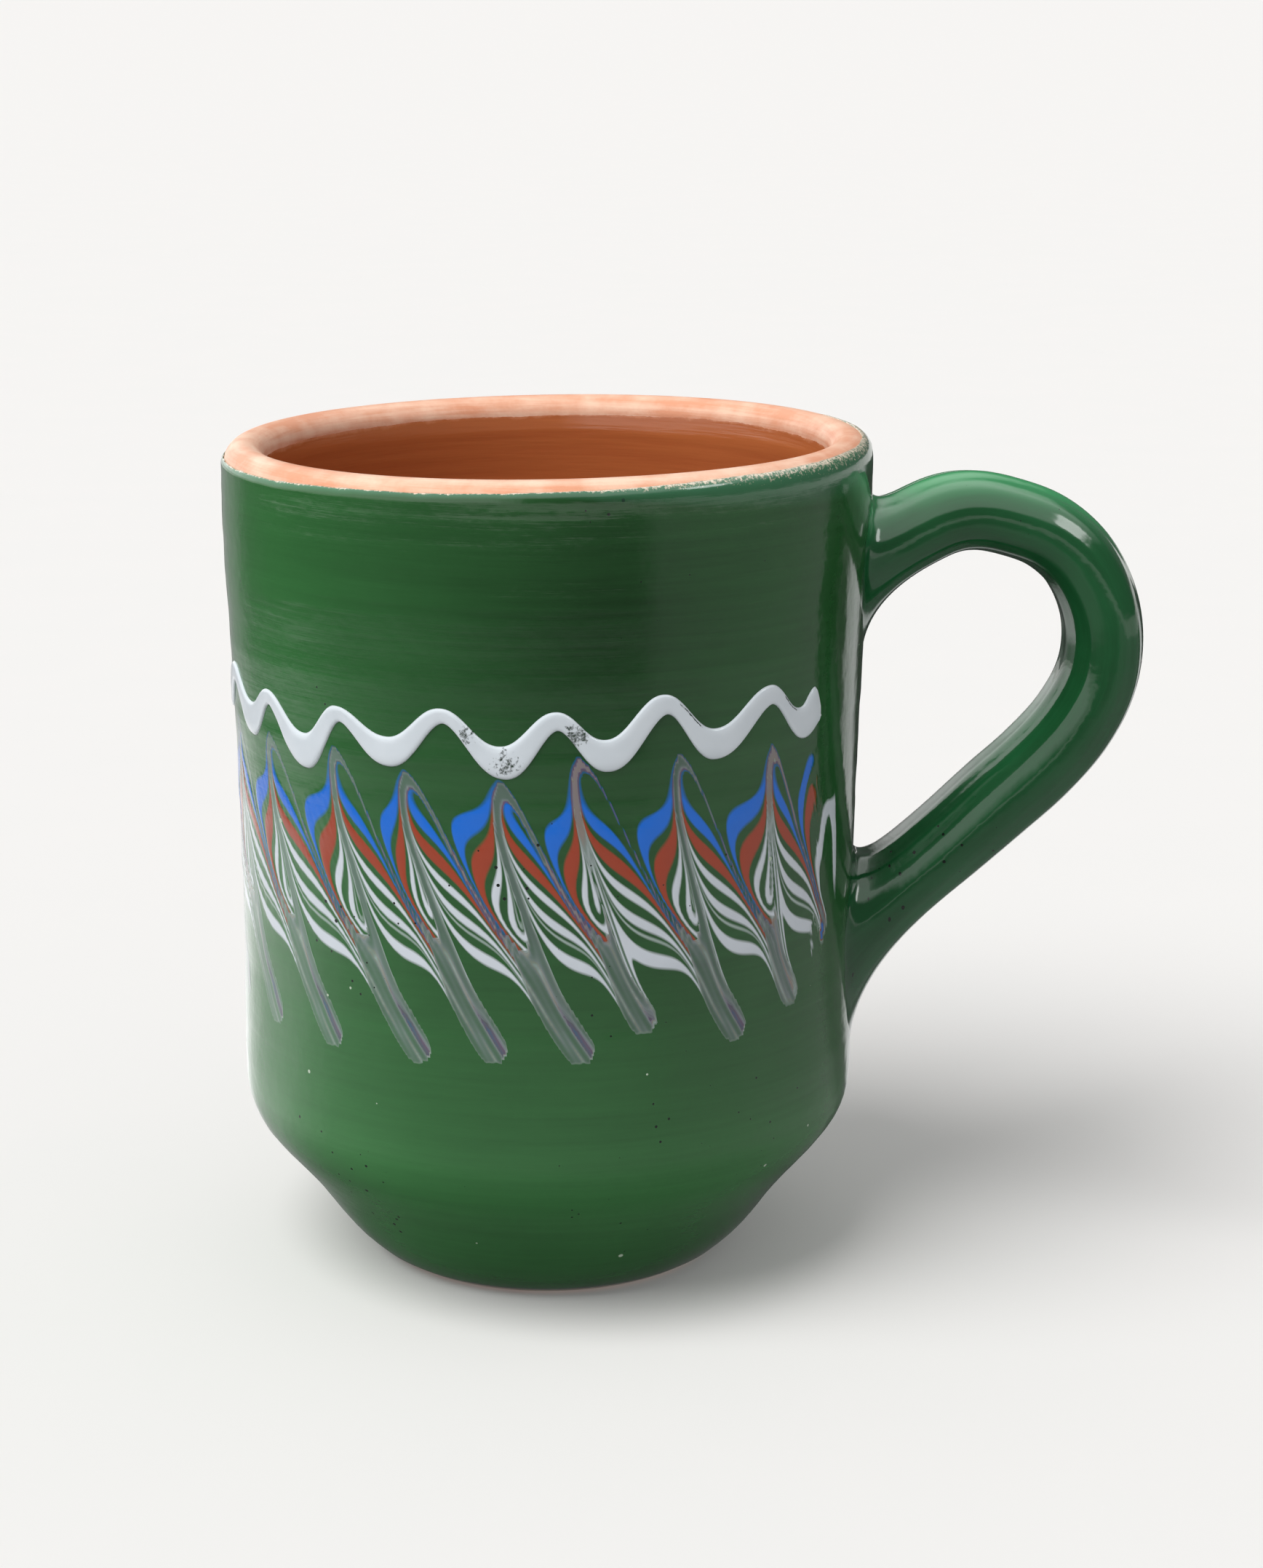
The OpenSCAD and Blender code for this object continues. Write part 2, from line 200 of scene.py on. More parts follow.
def smooth_line(points, steps):
    """A curve through points: on each span the cubic whose slope at an end is half the step between
    that end's neighbours."""
    p = np.asarray(points, float)
    q = np.vstack([p[:1], p, p[-1:]])
    a, b, c, d = (q[i:len(q) - 3 + i, None, :] for i in range(4))
    t = (np.arange(steps) / steps)[None, :, None]
    curve = (2 * b + (c - a) * t + (2 * a - 5 * b + 4 * c - d) * t**2 + (3 * b - a - 3 * c + d) * t**3) / 2
    return np.vstack([curve.reshape(-1, p.shape[1]), p[-1:]])


def eased(t):
    """Goes from 0 to 1 with level ends: three t squared less two t cubed."""
    t = np.clip(t, 0, 1)
    return t * t * (3 - 2 * t)


def toward(start, goal, share):
    """Start, moved by a share of the way to the goal."""
    return start + (goal - start) * share


coat_curve = smooth_line(COAT_OUTLINE, 6)


def ridges(turn, height):
    """Sum of sines of the height, each shifted along by the turn, so that they climb as a spiral."""
    total = np.zeros(np.broadcast(turn, height).shape)
    for size, spacing, climb, start in RIDGES:
        total += size * np.sin(2 * np.pi * (height - climb * turn / 360) / spacing + start)
    return total


def coat_r(turn, height):
    """Radius of the green coat: its outline, less a slow out-of-round of two lobes, plus the ridges."""
    lobes = OUT_OF_ROUND * (1 + np.cos(np.radians(2 * turn))) / 2
    fade = eased((height - 1) / 12)
    drawn = np.interp(height, coat_curve[:, 0], coat_curve[:, 1])
    return drawn - lobes * fade + (ridges(turn, height) - RIDGE_SINK) * fade


def leaned(turn, height):
    """Height after the rim's lean, which grows from nothing at LEAN_FROM and follows the sine of the
    turn, with a slow waver of three lobes."""
    waver = 0.05 * np.sin(np.radians(3 * turn + 40)) - 0.05
    drop = RIM_LEAN * (1 - np.sin(np.radians(turn))) - waver
    return height - drop * eased((height - LEAN_FROM) / (CUP_H - LEAN_FROM))


def placed(radius, turn, height):
    """Points at a radius, a turn from the front and a height."""
    a = np.radians(turn)
    return np.stack(np.broadcast_arrays(radius * np.sin(a), -radius * np.cos(a), height), -1)


def outward(points, faces):
    """Turns all faces round if the signed volume that they enclose is negative."""
    volume = 0
    for group in faces:
        for k in range(1, group.shape[1] - 1):
            a, b, c = points[group[:, 0]], points[group[:, k]], points[group[:, k + 1]]
            volume += np.einsum("ij,ij->", a, np.cross(b, c))
    return [group[:, ::-1] if volume < 0 else group for group in faces]


def make_piece(name, points, faces, material, facts=None, stands_for=()):
    """A mesh from points in millimetres and lists of faces, with facts as values at its points."""
    faces = outward(points, faces)
    mesh = bpy.data.meshes.new(name)
    mesh.vertices.add(len(points))
    mesh.vertices.foreach_set("co", (points * MM).astype(np.float32).ravel())
    corners = np.concatenate([group.ravel() for group in faces]).astype(np.int32)
    counts = np.concatenate([np.full(len(group), group.shape[1]) for group in faces])
    starts = np.concatenate([[0], np.cumsum(counts)[:-1]]).astype(np.int32)
    mesh.loops.add(len(corners))
    mesh.loops.foreach_set("vertex_index", corners)
    mesh.polygons.add(len(starts))
    mesh.polygons.foreach_set("loop_start", starts)
    mesh.update(calc_edges=True)
    mesh.shade_smooth()
    for fact, values in (facts or {}).items():
        kind = "FLOAT_VECTOR" if values.ndim == 2 else "FLOAT"
        field = "vector" if values.ndim == 2 else "value"
        data = mesh.attributes.new(fact, kind, "POINT").data
        data.foreach_set(field, values.astype(np.float32).ravel())
    mesh.materials.append(material)
    piece = bpy.data.objects.new(name, mesh)
    bpy.context.scene.collection.objects.link(piece)
    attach(piece, "mug" if "mug" in frame["bodies"] else "root")
    if stands_for:
        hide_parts(*stands_for)


def ring_faces(rows, columns, first=0, close=False):
    """Quads between neighbouring rows of a grid whose columns meet round the ring. Close joins the last
    row to the first."""
    i = np.arange(rows if close else rows - 1)[:, None]
    j = np.arange(columns)[None, :]
    k, m = (j + 1) % columns, (i + 1) % rows
    quads = np.stack([i * columns + j, i * columns + k, m * columns + k, m * columns + j], -1)
    return first + quads.reshape(-1, 4)


def step_faces(coarse, fine, count, upward):
    """Triangles between a row of count points and a row of twice as many. Upward says that the coarse
    row is the lower one."""
    j = np.arange(count)
    c, d = coarse + j, coarse + (j + 1) % count
    f, g, h = fine + 2 * j, fine + 2 * j + 1, fine + (2 * j + 2) % (2 * count)
    faces = np.vstack([np.stack(t, -1) for t in ((c, d, g), (c, g, f), (d, h, g))])
    return faces if upward else faces[:, ::-1]


def join_faces(low, high, count):
    """Quads between two rings of count points."""
    j = np.arange(count)
    k = (j + 1) % count
    return np.stack([low + j, low + k, high + k, high + j], -1)


def fan_faces(pole, first, count, upward):
    """Triangles from a pole to a ring of points."""
    j = np.arange(count)
    faces = np.stack([np.full(count, pole), first + j, first + (j + 1) % count], -1)
    return faces if upward else faces[:, ::-1]


def capped_faces(rows, columns):
    """Faces of a tube of rows, with a fan at each end to a pole. The two poles follow the rows' points."""
    total = rows * columns
    return [
        ring_faces(rows, columns),
        fan_faces(total, 0, columns, False),
        fan_faces(total + 1, total - columns, columns, True),
    ]


# Feathering

def on_band(points):
    """Turns and heights as millimetres along the wall and up."""
    p = np.array(points, float)
    return np.stack([np.radians(p[:, 0]) * WALL_R, p[:, 1]], -1)


def stroke(points, radii, reach):
    """Places of the point along a stroke, a small step apart, with its radius and its reach there."""
    line = smooth_line(points, 12)
    along = np.concatenate([[0], np.cumsum(np.linalg.norm(np.diff(line, axis=0), axis=1))])
    even = np.linspace(0, along[-1], int(along[-1] / POINT_STEP))
    places = np.stack([np.interp(even, along, line[:, k]) for k in range(2)], -1)
    return places, np.interp(places[:, 1], *zip(*radii)), np.interp(places[:, 1], *zip(*reach))


def strokes():
    """All strokes in the order in which they were drawn, each with whether it runs down. Those round
    the back follow the pitch with a seeded sway."""
    count = int((TIPS_SHOWN[0][0] - BAND_FIRST) / FEATHER_PITCH)
    sway = np.random.default_rng(7).uniform(-1, 1, (count, 4))
    turns = TIPS_SHOWN[0][0] - FEATHER_PITCH * np.arange(count, 0, -1)
    tips = [(t + s[0], TIP_H + 0.8 * s[1]) for t, s in zip(turns, sway)] + TIPS_SHOWN
    ends = [(t + END_TURN + s[2], END_H + 1.4 * s[3]) for t, s in zip(turns, sway)] + ENDS_SHOWN
    tips, ends = on_band(tips), on_band(ends)
    drawn = []
    for n, (tip, end) in enumerate(zip(tips, ends)):
        way = tip + np.array(DOWN_SHARES) * (end - tip)
        drawn.append(stroke(way, DOWN_RADIUS, DOWN_REACH) + (True,))
        if n + 1 < len(tips):
            start = tip + UP_FROM_SHARE * (end - tip) + [UP_ASIDE, 0]
            way = start + np.array(UP_SHARES) * (tips[n + 1] - start)
            drawn.append(stroke(way, UP_RADIUS, UP_REACH) + (False,))
    return drawn


def before_feathering(places):
    """Where slip that now lies at places lay before the strokes. Also five facts: the longest way that a
    stroke down carried it, the height where it was left, its side of the point in radii, its distance
    from the stroke's end, and the longest way that a stroke up carried it.
    Each small step of the point carries slip with it: wholly within the point's radius, and past it by
    a share that falls off with the distance. The steps are undone, the last first."""
    places = places.copy()
    facts = np.tile([0.0, 60.0, 0.0, 99.0, 0.0], (len(places), 1))
    for points, radii, reaches, down in reversed(strokes()):
        margin = 5 * reaches.max() + 1
        low, high = points.min(0) - margin, points.max(0) + margin
        near = np.where(((places > low) & (places < high)).all(1))[0]
        q = places[near]
        left = q.copy()
        side, nearest = np.zeros(len(q)), np.full(len(q), 9.0)
        for i in range(len(points) - 1, 0, -1):
            step = points[i] - points[i - 1]
            gap = q - points[i]
            away = np.sqrt(np.einsum("ij,ij->i", gap, gap))
            if down:
                beside = left - points[i]
                apart = np.einsum("ij,ij->i", beside, beside)
                closer = apart < nearest
                side[closer] = beside[closer] @ [-step[1], step[0]] / np.hypot(*step) / radii[i]
                nearest[closer] = apart[closer]
            q -= np.exp(-np.maximum(away - radii[i], 0) / reaches[i])[:, None] * step
        places[near] = q
        carried = np.hypot(*(q - left).T)
        if down:
            longer = carried > facts[near, 0]
            rest = np.hypot(*(left - points[-1]).T)
            facts[near[longer], :4] = np.stack([carried, left[:, 1], side, rest], -1)[longer]
        else:
            facts[near, 4] = np.maximum(facts[near, 4], carried)
    return places, facts


def curled_ends(laid, turn):
    """Laid heights at the lines' right ends. The blue and the red line rise by an eased step. The hooked
    line's heights are shifted by the hook's curve, and drawn towards the line by one over the length of
    the curve's slope and 1, so that it keeps its width where it runs steeply."""
    rise = END_RISE * eased((turn - RISE_FROM) / 5) * (1 - eased(turn - RISE_TO))
    laid = laid - rise * np.clip((laid - 63) / 6.5, 0, 1)
    hook = smooth_line(HOOK, 6)
    steep = np.gradient(hook[:, 1], np.radians(hook[:, 0]) * WALL_R)
    narrow = np.interp(turn, hook[:, 0], 1 / np.sqrt(1 + steep**2))
    hooked = HOOK_LINE + (laid + np.interp(turn, *hook.T) - HOOK_LINE) * narrow
    return np.where(turn > HOOK[0][0], np.minimum(hooked, np.maximum(laid, HOOK_MOST)), laid)


def mixed_heights(laid, height, slope):
    """How much of the lines' heights is mixed at each point of a grid: the slope of the laid height times
    the blur's width, and at least half the greatest step to a neighbour."""
    across, down = np.abs(np.diff(laid, axis=1)), np.abs(np.diff(laid, axis=0))
    jump = np.maximum(np.pad(across, ((0, 0), (1, 0))), np.pad(across, ((0, 0), (0, 1))))
    jump = np.maximum(jump, np.maximum(np.pad(down, ((1, 0), (0, 0))), np.pad(down, ((0, 1), (0, 0)))))
    blur = SLIP_BLUR * (1 + 3.0 * eased((height - 71) / 5))
    return np.clip(np.maximum(slope * blur, 0.5 * jump), 0.1, BLUR_MOST)


def muddied(laid, mixed, turn, carried, left, side, rest):
    """Slip that was carried far down is a mud of all that it passed, in streaks that are sines of its
    side of the point. It is bluer on the right side and redder at the end. Also says how much is mud."""
    mud = eased((carried - np.interp(left, *zip(*MUDDY_FROM))) / MUDDY_OVER)
    mud = mud * (1 - 0.8 * eased((turn - CLEAR_FROM) / 5))
    streak = 0.56 + 0.28 * np.sin(6.5 * side + left / 4) + 0.24 * np.sin(13 * side - left / 5)
    middle, width = 57 - 2 * streak, 110 - 92 * streak
    blue = 0.92 * eased((side - 0.1) / 0.3) * eased((1.0 - side) / 0.4) * eased((49 - left) / 5)
    middle, width = toward(middle, MUD_BLUE[0], blue), toward(width, MUD_BLUE[1], blue)
    red = 0.85 * eased((side - 0.3) / 0.6) * (1 - eased((rest - 0.4) / 3.0))
    middle, width = toward(middle, MUD_RED[0], red), toward(width, MUD_RED[1], red)
    return toward(laid, middle, mud), toward(mixed, width, mud**0.4), mud


def lines_there(place, turn, mud):
    """1 where the lines of slip reach and 0 past their starts and stops, with rounded ends: the way past
    the end has twice the square of the way off the line's middle added. Mud goes on past the ends."""
    starts = BAND_FIRST + 2 * np.sin(0.7 * place)
    outside = np.maximum(starts - turn, turn - np.interp(place, *zip(*LINE_STOPS)))
    off_middle = np.min([np.abs(place - middle) / width for middle, width, _ in SLIP_LINES], axis=0)
    rounded = 2 * np.clip(2 * off_middle, 0, 1) ** 2 * (outside > -1.6)
    return 1 - eased(outside / 0.8 + rounded) * (1 - mud)


def feathered(turn, height):
    """For a grid of points of the wall: the height at which their slip was laid, how much of the heights
    is mixed there, and whether the lines reach there. The laid height is that of the place before the
    strokes, with two slow sines for the hand that trailed the lines."""
    flat = on_band(np.stack([turn.ravel(), height.ravel()], -1))
    aside = 0.02
    was, facts = before_feathering(np.vstack([flat, flat + [aside, 0], flat + [0, aside]]))
    was = was.reshape(3, *turn.shape, 2)
    carried, left, side, rest, raised = facts[:len(flat)].T.reshape(5, *turn.shape)
    along, laid = was[0, ..., 0], was[0, ..., 1]
    was_turn = np.degrees(along / WALL_R)
    slope = np.hypot(was[1, ..., 1] - laid, was[2, ..., 1] - laid) / aside
    for size, length, start in TRAIL_WAVERS:
        laid = laid + size * np.sin(along / length + start)
    laid = curled_ends(laid, was_turn)
    place = laid.copy()
    middle_of_three = np.median([laid[:, :-2], laid[:, 1:-1], laid[:, 2:]], axis=0)
    laid[:, 1:-1] = np.where(height[:, 1:-1] > 67, middle_of_three, laid[:, 1:-1])
    mixed = mixed_heights(laid, height, slope)
    mud_up = 0.9 * eased((raised - 16) / 8)
    laid, mixed = toward(laid, MUD_RAISED[0], mud_up), toward(mixed, MUD_RAISED[1], mud_up**0.5)
    laid, mixed, mud = muddied(laid, mixed, turn, carried, left, side, rest)
    there = lines_there(place, was_turn, mud)

    dab_across = np.radians(turn - DAB[0]) * WALL_R / DAB_SIZE[0]
    dab = eased(3 * (1 - np.hypot(dab_across, (height - DAB[1]) / DAB_SIZE[1])))
    return toward(laid, DAB_SLIP[0], dab), toward(mixed, DAB_SLIP[1], dab), np.maximum(there, dab)


def cover(laid, mixed, middle, width):
    """Share of the mixed stretch of heights that a line of slip takes up."""
    low, high = laid - mixed / 2, laid + mixed / 2
    shared = np.minimum(high, middle + width / 2) - np.maximum(low, middle - width / 2)
    return np.clip(shared / mixed, 0, 1)


# Materials

def linear(text):
    """An sRGB hex colour as linear red, green, blue and 1."""
    parts = [int(text[i:i + 2], 16) / 255 for i in (1, 3, 5)]
    return tuple(c / 12.92 if c <= 0.04045 else ((c + 0.055) / 1.055) ** 2.4 for c in parts) + (1.0,)


def add(tree, kind, inputs=None, **settings):
    """Adds a shader node: settings are its properties, and each input is a constant or an output."""
    made = tree.nodes.new("ShaderNode" + kind)
    for name, value in settings.items():
        setattr(made, name, value)
    for socket, value in (inputs or {}).items():
        if isinstance(value, bpy.types.NodeSocket):
            tree.links.new(value, made.inputs[socket])
        else:
            made.inputs[socket].default_value = value
    return made


# Sockets of the Mix node when it mixes colours
MIX_A, MIX_B, MIX_OUT = 6, 7, 2
WHITE = (1.0, 1.0, 1.0, 1.0)


def blend(tree, share, first, second):
    """A colour between two: the first at 0 and the second at 1. Each is a hex text or an output."""
    first, second = (linear(c) if isinstance(c, str) else c for c in (first, second))
    mixed = add(tree, "Mix", {0: share, MIX_A: first, MIX_B: second}, data_type="RGBA")
    return mixed.outputs[MIX_OUT]


def reckon(tree, operation, a, b, c=None, clamp=False):
    """One step of arithmetic on numbers or outputs."""
    inputs = {0: a, 1: b} if c is None else {0: a, 1: b, 2: c}
    return add(tree, "Math", inputs, operation=operation, use_clamp=clamp).outputs[0]


def spread(tree, value, low, high, to_low=0.0, to_high=1.0, **settings):
    """A value's way from low to high, held at both, as the same share of the way between two others."""
    return add(tree, "MapRange", {
        "Value": value, "From Min": low, "From Max": high, "To Min": to_low, "To Max": to_high
    }, **settings).outputs[0]


def noise(tree, place, size, detail, roughness=0.5):
    """Noise from 0 to 1 with clouds of a size in millimetres, or of three sizes along x, y and z."""
    scale = 1.0
    if isinstance(size, tuple):
        stretch = tuple(1 / (s * MM) for s in size)
        place = add(tree, "Mapping", {"Vector": place, "Scale": stretch}).outputs[0]
    else:
        scale = 1 / (size * MM)
    return add(tree, "TexNoise", {
        "Vector": place, "Scale": scale, "Detail": detail, "Roughness": roughness
    }).outputs["Fac"]


def dots(tree, place, spacing):
    """Seeds about a spacing apart: the distance to the nearest, and a chance colour for each."""
    seeds = add(tree, "TexVoronoi", {"Vector": place, "Scale": 1 / (spacing * MM)})
    return seeds.outputs["Distance"], seeds.outputs["Color"]


def relief(tree, height, depth, over=None, strength=1.0, sunk=False):
    """Surface direction for a relief of a depth in millimetres, laid over another relief."""
    inputs = {"Height": height, "Distance": depth * MM, "Strength": strength}
    if over is not None:
        inputs["Normal"] = over
    return add(tree, "Bump", inputs, invert=sunk).outputs[0]


def fact(tree, name):
    """A value that the mesh holds at its points."""
    return add(tree, "Attribute", attribute_name=name).outputs["Fac"]


def object_place(tree):
    return add(tree, "TexCoord").outputs["Object"]


def strap_place(tree):
    return add(tree, "Attribute", attribute_name="strap_place").outputs["Vector"]


def new_material(name):
    material = bpy.data.materials.new(name)
    material.use_nodes = True
    material.node_tree.nodes.clear()
    return material, material.node_tree


def finish_material(tree, inputs):
    shader = add(tree, "BsdfPrincipled", inputs)
    add(tree, "OutputMaterial", {"Surface": shader.outputs["BSDF"]})


def slip_colours(tree, colour):
    """The lines of slip over a colour, each by its share of the heights that are mixed at the point."""
    laid, mixed, there = (fact(tree, name) for name in ("laid", "mixed", "there"))
    half = reckon(tree, "MULTIPLY", mixed, 0.5)
    top = reckon(tree, "ADD", laid, half)
    foot = reckon(tree, "SUBTRACT", laid, half)
    for middle, width, hue in SLIP_LINES:
        upper = reckon(tree, "MINIMUM", top, middle + width / 2)
        lower = reckon(tree, "MAXIMUM", foot, middle - width / 2)
        part = reckon(tree, "DIVIDE", reckon(tree, "SUBTRACT", upper, lower), mixed, clamp=True)
        colour = blend(tree, reckon(tree, "MULTIPLY", part, there), colour, hue)
    return colour


def broken_edge(tree, place, colour):
    """The glaze's upper edge: it thins to a milky teal and breaks into grains on the bare clay."""
    edge = fact(tree, "edge")
    colour = blend(tree, spread(tree, edge, 0.5, 1.3, 0.6, 0.0), colour, "#4f8a6c")
    bare = reckon(tree, "SUBTRACT", noise(tree, place, 0.45, 4.0, 0.7), edge)
    return blend(tree, spread(tree, bare, -0.08, 0.08), colour, "#ecdcc6")


def green_glaze(name, place_of, streak_size, slips, dark_colour, pale_colour):
    """Copper-green glaze over slip, brushed on in turns and fired glossy: the eye sees a deep green with
    fine streaks along the brush, darker clouds, dark pinholes, a few white specks and a clear wet gloss."""
    material, tree = new_material(name)
    place = place_of(tree)
    streaks = noise(tree, place, streak_size, 5.0, 0.6)
    clouds = noise(tree, place, 24, 3.0)
    share = spread(tree, reckon(tree, "ADD", streaks, clouds), 0.5, 1.5, 0.36, 0.64)
    # This fact moves the green towards its pale colour by place: on the wall partly less glaze and partly
    # painted light and painted shade, on the handle painted light from above
    paler_by = reckon(tree, "SUBTRACT", fact(tree, "paleness"), 0.5)
    share = reckon(tree, "ADD", share, paler_by, clamp=True)
    colour = blend(tree, share, dark_colour, pale_colour)
    if slips:
        colour = slip_colours(tree, colour)
    to_pore, _ = dots(tree, place, 1.9)
    pore_size = spread(tree, noise(tree, place, 16, 1.0), 0.52, 0.72, 0.0, 0.13)
    pore = reckon(tree, "LESS_THAN", to_pore, pore_size)
    colour = blend(tree, pore, colour, "#0b1a10")
    to_grain, chance = dots(tree, place, 3.2)
    rare = add(tree, "SeparateColor", {"Color": chance}).outputs["Red"]
    grain = reckon(tree, "LESS_THAN", to_grain, spread(tree, rare, 0.93, 1.0, 0.0, 0.12))
    colour = blend(tree, grain, colour, "#b8c9b4")
    if slips:
        colour = broken_edge(tree, place, colour)
    peel = relief(tree, noise(tree, place, 2.6, 2.0), 0.05)
    brushed = relief(tree, streaks, 0.03, peel)
    pitted = relief(tree, pore, 0.1, brushed, sunk=True)
    finish_material(tree, {"Base Color": colour, "Roughness": 0.1, "IOR": 1.52, "Normal": pitted})
    return material


def white_slip():
    """White slip trailed thick under clear glaze: a smooth milky line with a soft lavender cast, broken
    here and there by burst bubbles and short cracks that show the green."""
    material, tree = new_material("white_slip_trailed")
    place = object_place(tree)
    colour = blend(tree, noise(tree, place, 5, 3.0), "#d2dbe2", "#e2e9ef")
    open_pit = reckon(tree, "ADD", noise(tree, place, 0.6, 4.0, 0.7), fact(tree, "wear"))
    pit = spread(tree, open_pit, 0.94, 1.08)
    colour = blend(tree, pit, colour, "#2c4030")
    pitted = relief(tree, pit, 0.15, sunk=True)
    finish_material(tree, {"Base Color": colour, "Roughness": 0.18, "IOR": 1.52, "Normal": pitted})
    return material


def terracotta():
    """Low-fired red clay, thrown and sponged: a dry peach surface with fine grit, paler patches and faint
    turning lines."""
    material, tree = new_material("terracotta_biscuit")
    place = object_place(tree)
    lines = noise(tree, place, (22, 22, 0.8), 4.0, 0.6)
    patches = noise(tree, place, 7, 4.0, 0.6)
    share = spread(tree, reckon(tree, "ADD", lines, patches), 0.82, 1.2)
    colour = blend(tree, share, "#e8a380", "#fcd3b8")
    gritty = relief(tree, noise(tree, place, 0.5, 3.0), 0.05, strength=0.8)
    finish_material(tree, {"Base Color": colour, "Roughness": 0.42, "IOR": 1.5, "Normal": gritty})
    return material


def clear_glaze():
    """Clear lead-free glaze over red clay: it wets the clay to a deep amber brown, with turning lines
    under a wet gloss, and thins out to the clay's own colour at its upper edge."""
    material, tree = new_material("clear_glaze_on_terracotta")
    place = object_place(tree)
    lines = noise(tree, place, (40, 40, 2.2), 4.0, 0.55)
    colour = blend(tree, lines, "#a65530", "#c67643")
    paleness = reckon(tree, "SUBTRACT", noise(tree, place, 2.4, 4.0, 0.6), fact(tree, "edge"))
    colour = blend(tree, spread(tree, paleness, -0.35, 0.35), colour, "#e6a37c")
    turned = relief(tree, lines, 0.12)
    finish_material(tree, {"Base Color": colour, "Roughness": 0.16, "IOR": 1.52, "Normal": turned})
    return material


GREEN_ON_WALL = green_glaze(
    "green_glaze_brushed_round", object_place, (26, 26, 1.1), True, "#183a1b", "#3c7a42")
GREEN_ON_STRAP = green_glaze(
    "green_glaze_brushed_along", strap_place, (40, 3, 3), False, "#123a1d", "#42a869")
WHITE_SLIP = white_slip()
TERRACOTTA = terracotta()
CLEAR_GLAZE = clear_glaze()


# Clay cup

def clay_outline():
    """The clay's outline from the middle of the base out and up, round the rim and down to the middle of
    the floor, as radius and height, with the distance along it from the top of the rim, which is less
    than nothing outside."""
    heights = np.concatenate([[BASE_BREAK], np.arange(2, 26, 2), np.arange(26, 110, 6), [110.5]])
    wall = np.stack([np.interp(heights, coat_curve[:, 0], coat_curve[:, 1]) - COAT_T, heights], -1)
    a = np.radians(np.linspace(0, 180, 33))
    middle = np.array([RIM_OUT - RIM_ROUND, CUP_H - RIM_ROUND])
    rim = middle + RIM_ROUND * np.stack([np.cos(a), np.sin(a)], -1)
    base = np.array([(0, 0), (8, 0), (16, 0), (21.3, 0)])
    line = np.vstack([base, wall, rim, smooth_line(HOLLOW, 6)])
    along = np.concatenate([[0], np.cumsum(np.linalg.norm(np.diff(line, axis=0), axis=1))])
    top = along[len(base) + len(wall) + len(rim) // 2]
    return line, along - top


def edge_waver(turn, seed, size):
    """A slow and a quick waver of a hand-drawn edge, as sines of the turn with seeded starts."""
    starts = np.random.default_rng(seed).uniform(0, 6.28, 6)
    waves = zip((2, 5, 11, 23, 47, 71), starts, (1, 2, 3, 4, 5, 5))
    return size * sum(np.sin(np.radians(lobes * turn) + start) / less for lobes, start, less in waves)


def coat_stop(turn):
    """Distance from the top of the rim down the outside to the edge of the green coat: less by the sine
    of the turn, so it is widest away from the handle."""
    return 2.65 - np.sin(np.radians(turn)) + edge_waver(turn, 3, 0.12)


def lining_stop(turn):
    """Distance from the top of the rim down the inside to the edge of the clear glaze."""
    return 3.3 + edge_waver(turn, 5, 0.2)


outline, outline_at = clay_outline()
# Value of facts at points that are not seen
OUT_OF_SIGHT = 9.0


def outline_point(at):
    """Radius and height of the clay at a distance along its outline from the top of the rim."""
    return np.interp(at, outline_at, outline[:, 0]), np.interp(at, outline_at, outline[:, 1])


def outline_normal(at):
    """Direction square to the outline, away from the clay: its slope turned a quarter to the right."""
    r0, z0 = outline_point(at - 0.15)
    r1, z1 = outline_point(at + 0.15)
    size = np.hypot(r1 - r0, z1 - z0)
    return (z1 - z0) / size, -(r1 - r0) / size


def shaken(radius, turn, height):
    """A clay or glaze point with the wall's ridges, out-of-round and lean, which fade towards the axis."""
    drawn = np.interp(height, coat_curve[:, 0], coat_curve[:, 1])
    change = (coat_r(turn, height) - drawn) * np.clip(radius / 38, 0, 1) * eased((radius - 18) / 12)
    return placed(radius + change, turn, leaned(turn, height))


def clay_cup():
    """The outline turned round the axis, closed by a pole in the base and one on the floor."""
    columns = 360
    turn = np.arange(columns)[None, :] * 360 / columns
    rows = outline[1:-1]
    height = np.broadcast_to(rows[:, 1:], (len(rows), columns))
    points = shaken(rows[:, :1], turn, height).reshape(-1, 3)
    base_rows = 3
    points[:columns * base_rows, 2] = 0
    points = np.vstack([points, [[0, 0, 0], [0, 0, FLOOR_T]]])
    make_piece(
        "clay_cup", points, capped_faces(len(rows), columns), TERRACOTTA,
        stands_for=["clay_body"])


def clear_lining():
    """A skin off the clay's inside by the lining's thickness, eased in from its edge, and an underside."""
    columns = 240
    turn = np.arange(columns)[None, :] * 360 / columns
    share = np.concatenate([np.linspace(0, 0.06, 12), np.linspace(0.06, 1, 70)[1:]])[:, None]
    stop = lining_stop(turn)
    end = outline_at[-1] - 0.4
    at = stop + share * (end - stop)
    radius, height = outline_point(at)
    out_r, out_z = outline_normal(at)
    # The lining's upper edge starts this deep in the clay, and its underside lies deeper still
    start_deep, under_deep = 0.05, 0.1
    thick = (LINING_T + start_deep) * eased((at - stop) / 4) - start_deep
    skin = shaken(radius + out_r * thick, turn, height + out_z * thick)
    under = shaken(radius - out_r * under_deep, turn, height - out_z * under_deep)[::-1][::6]
    points = np.vstack([skin, under]).reshape(-1, 3)
    under_first = len(skin) * columns
    faces = [
        ring_faces(len(skin), columns),
        fan_faces(len(points), under_first - columns, columns, True),
        fan_faces(len(points) + 1, under_first, columns, False),
        ring_faces(len(under), columns, under_first),
        join_faces(len(points) - columns, 0, columns),
    ]
    points = np.vstack([points, [[0, 0, FLOOR_T + LINING_T], [0, 0, FLOOR_T - under_deep]]])
    edge = np.full(len(points), OUT_OF_SIGHT)
    edge[:under_first] = ((at - stop) / 1.7).ravel()
    make_piece(
        "clear_lining", points, faces, CLEAR_GLAZE, {"edge": edge},
        stands_for=["inner_glaze"])


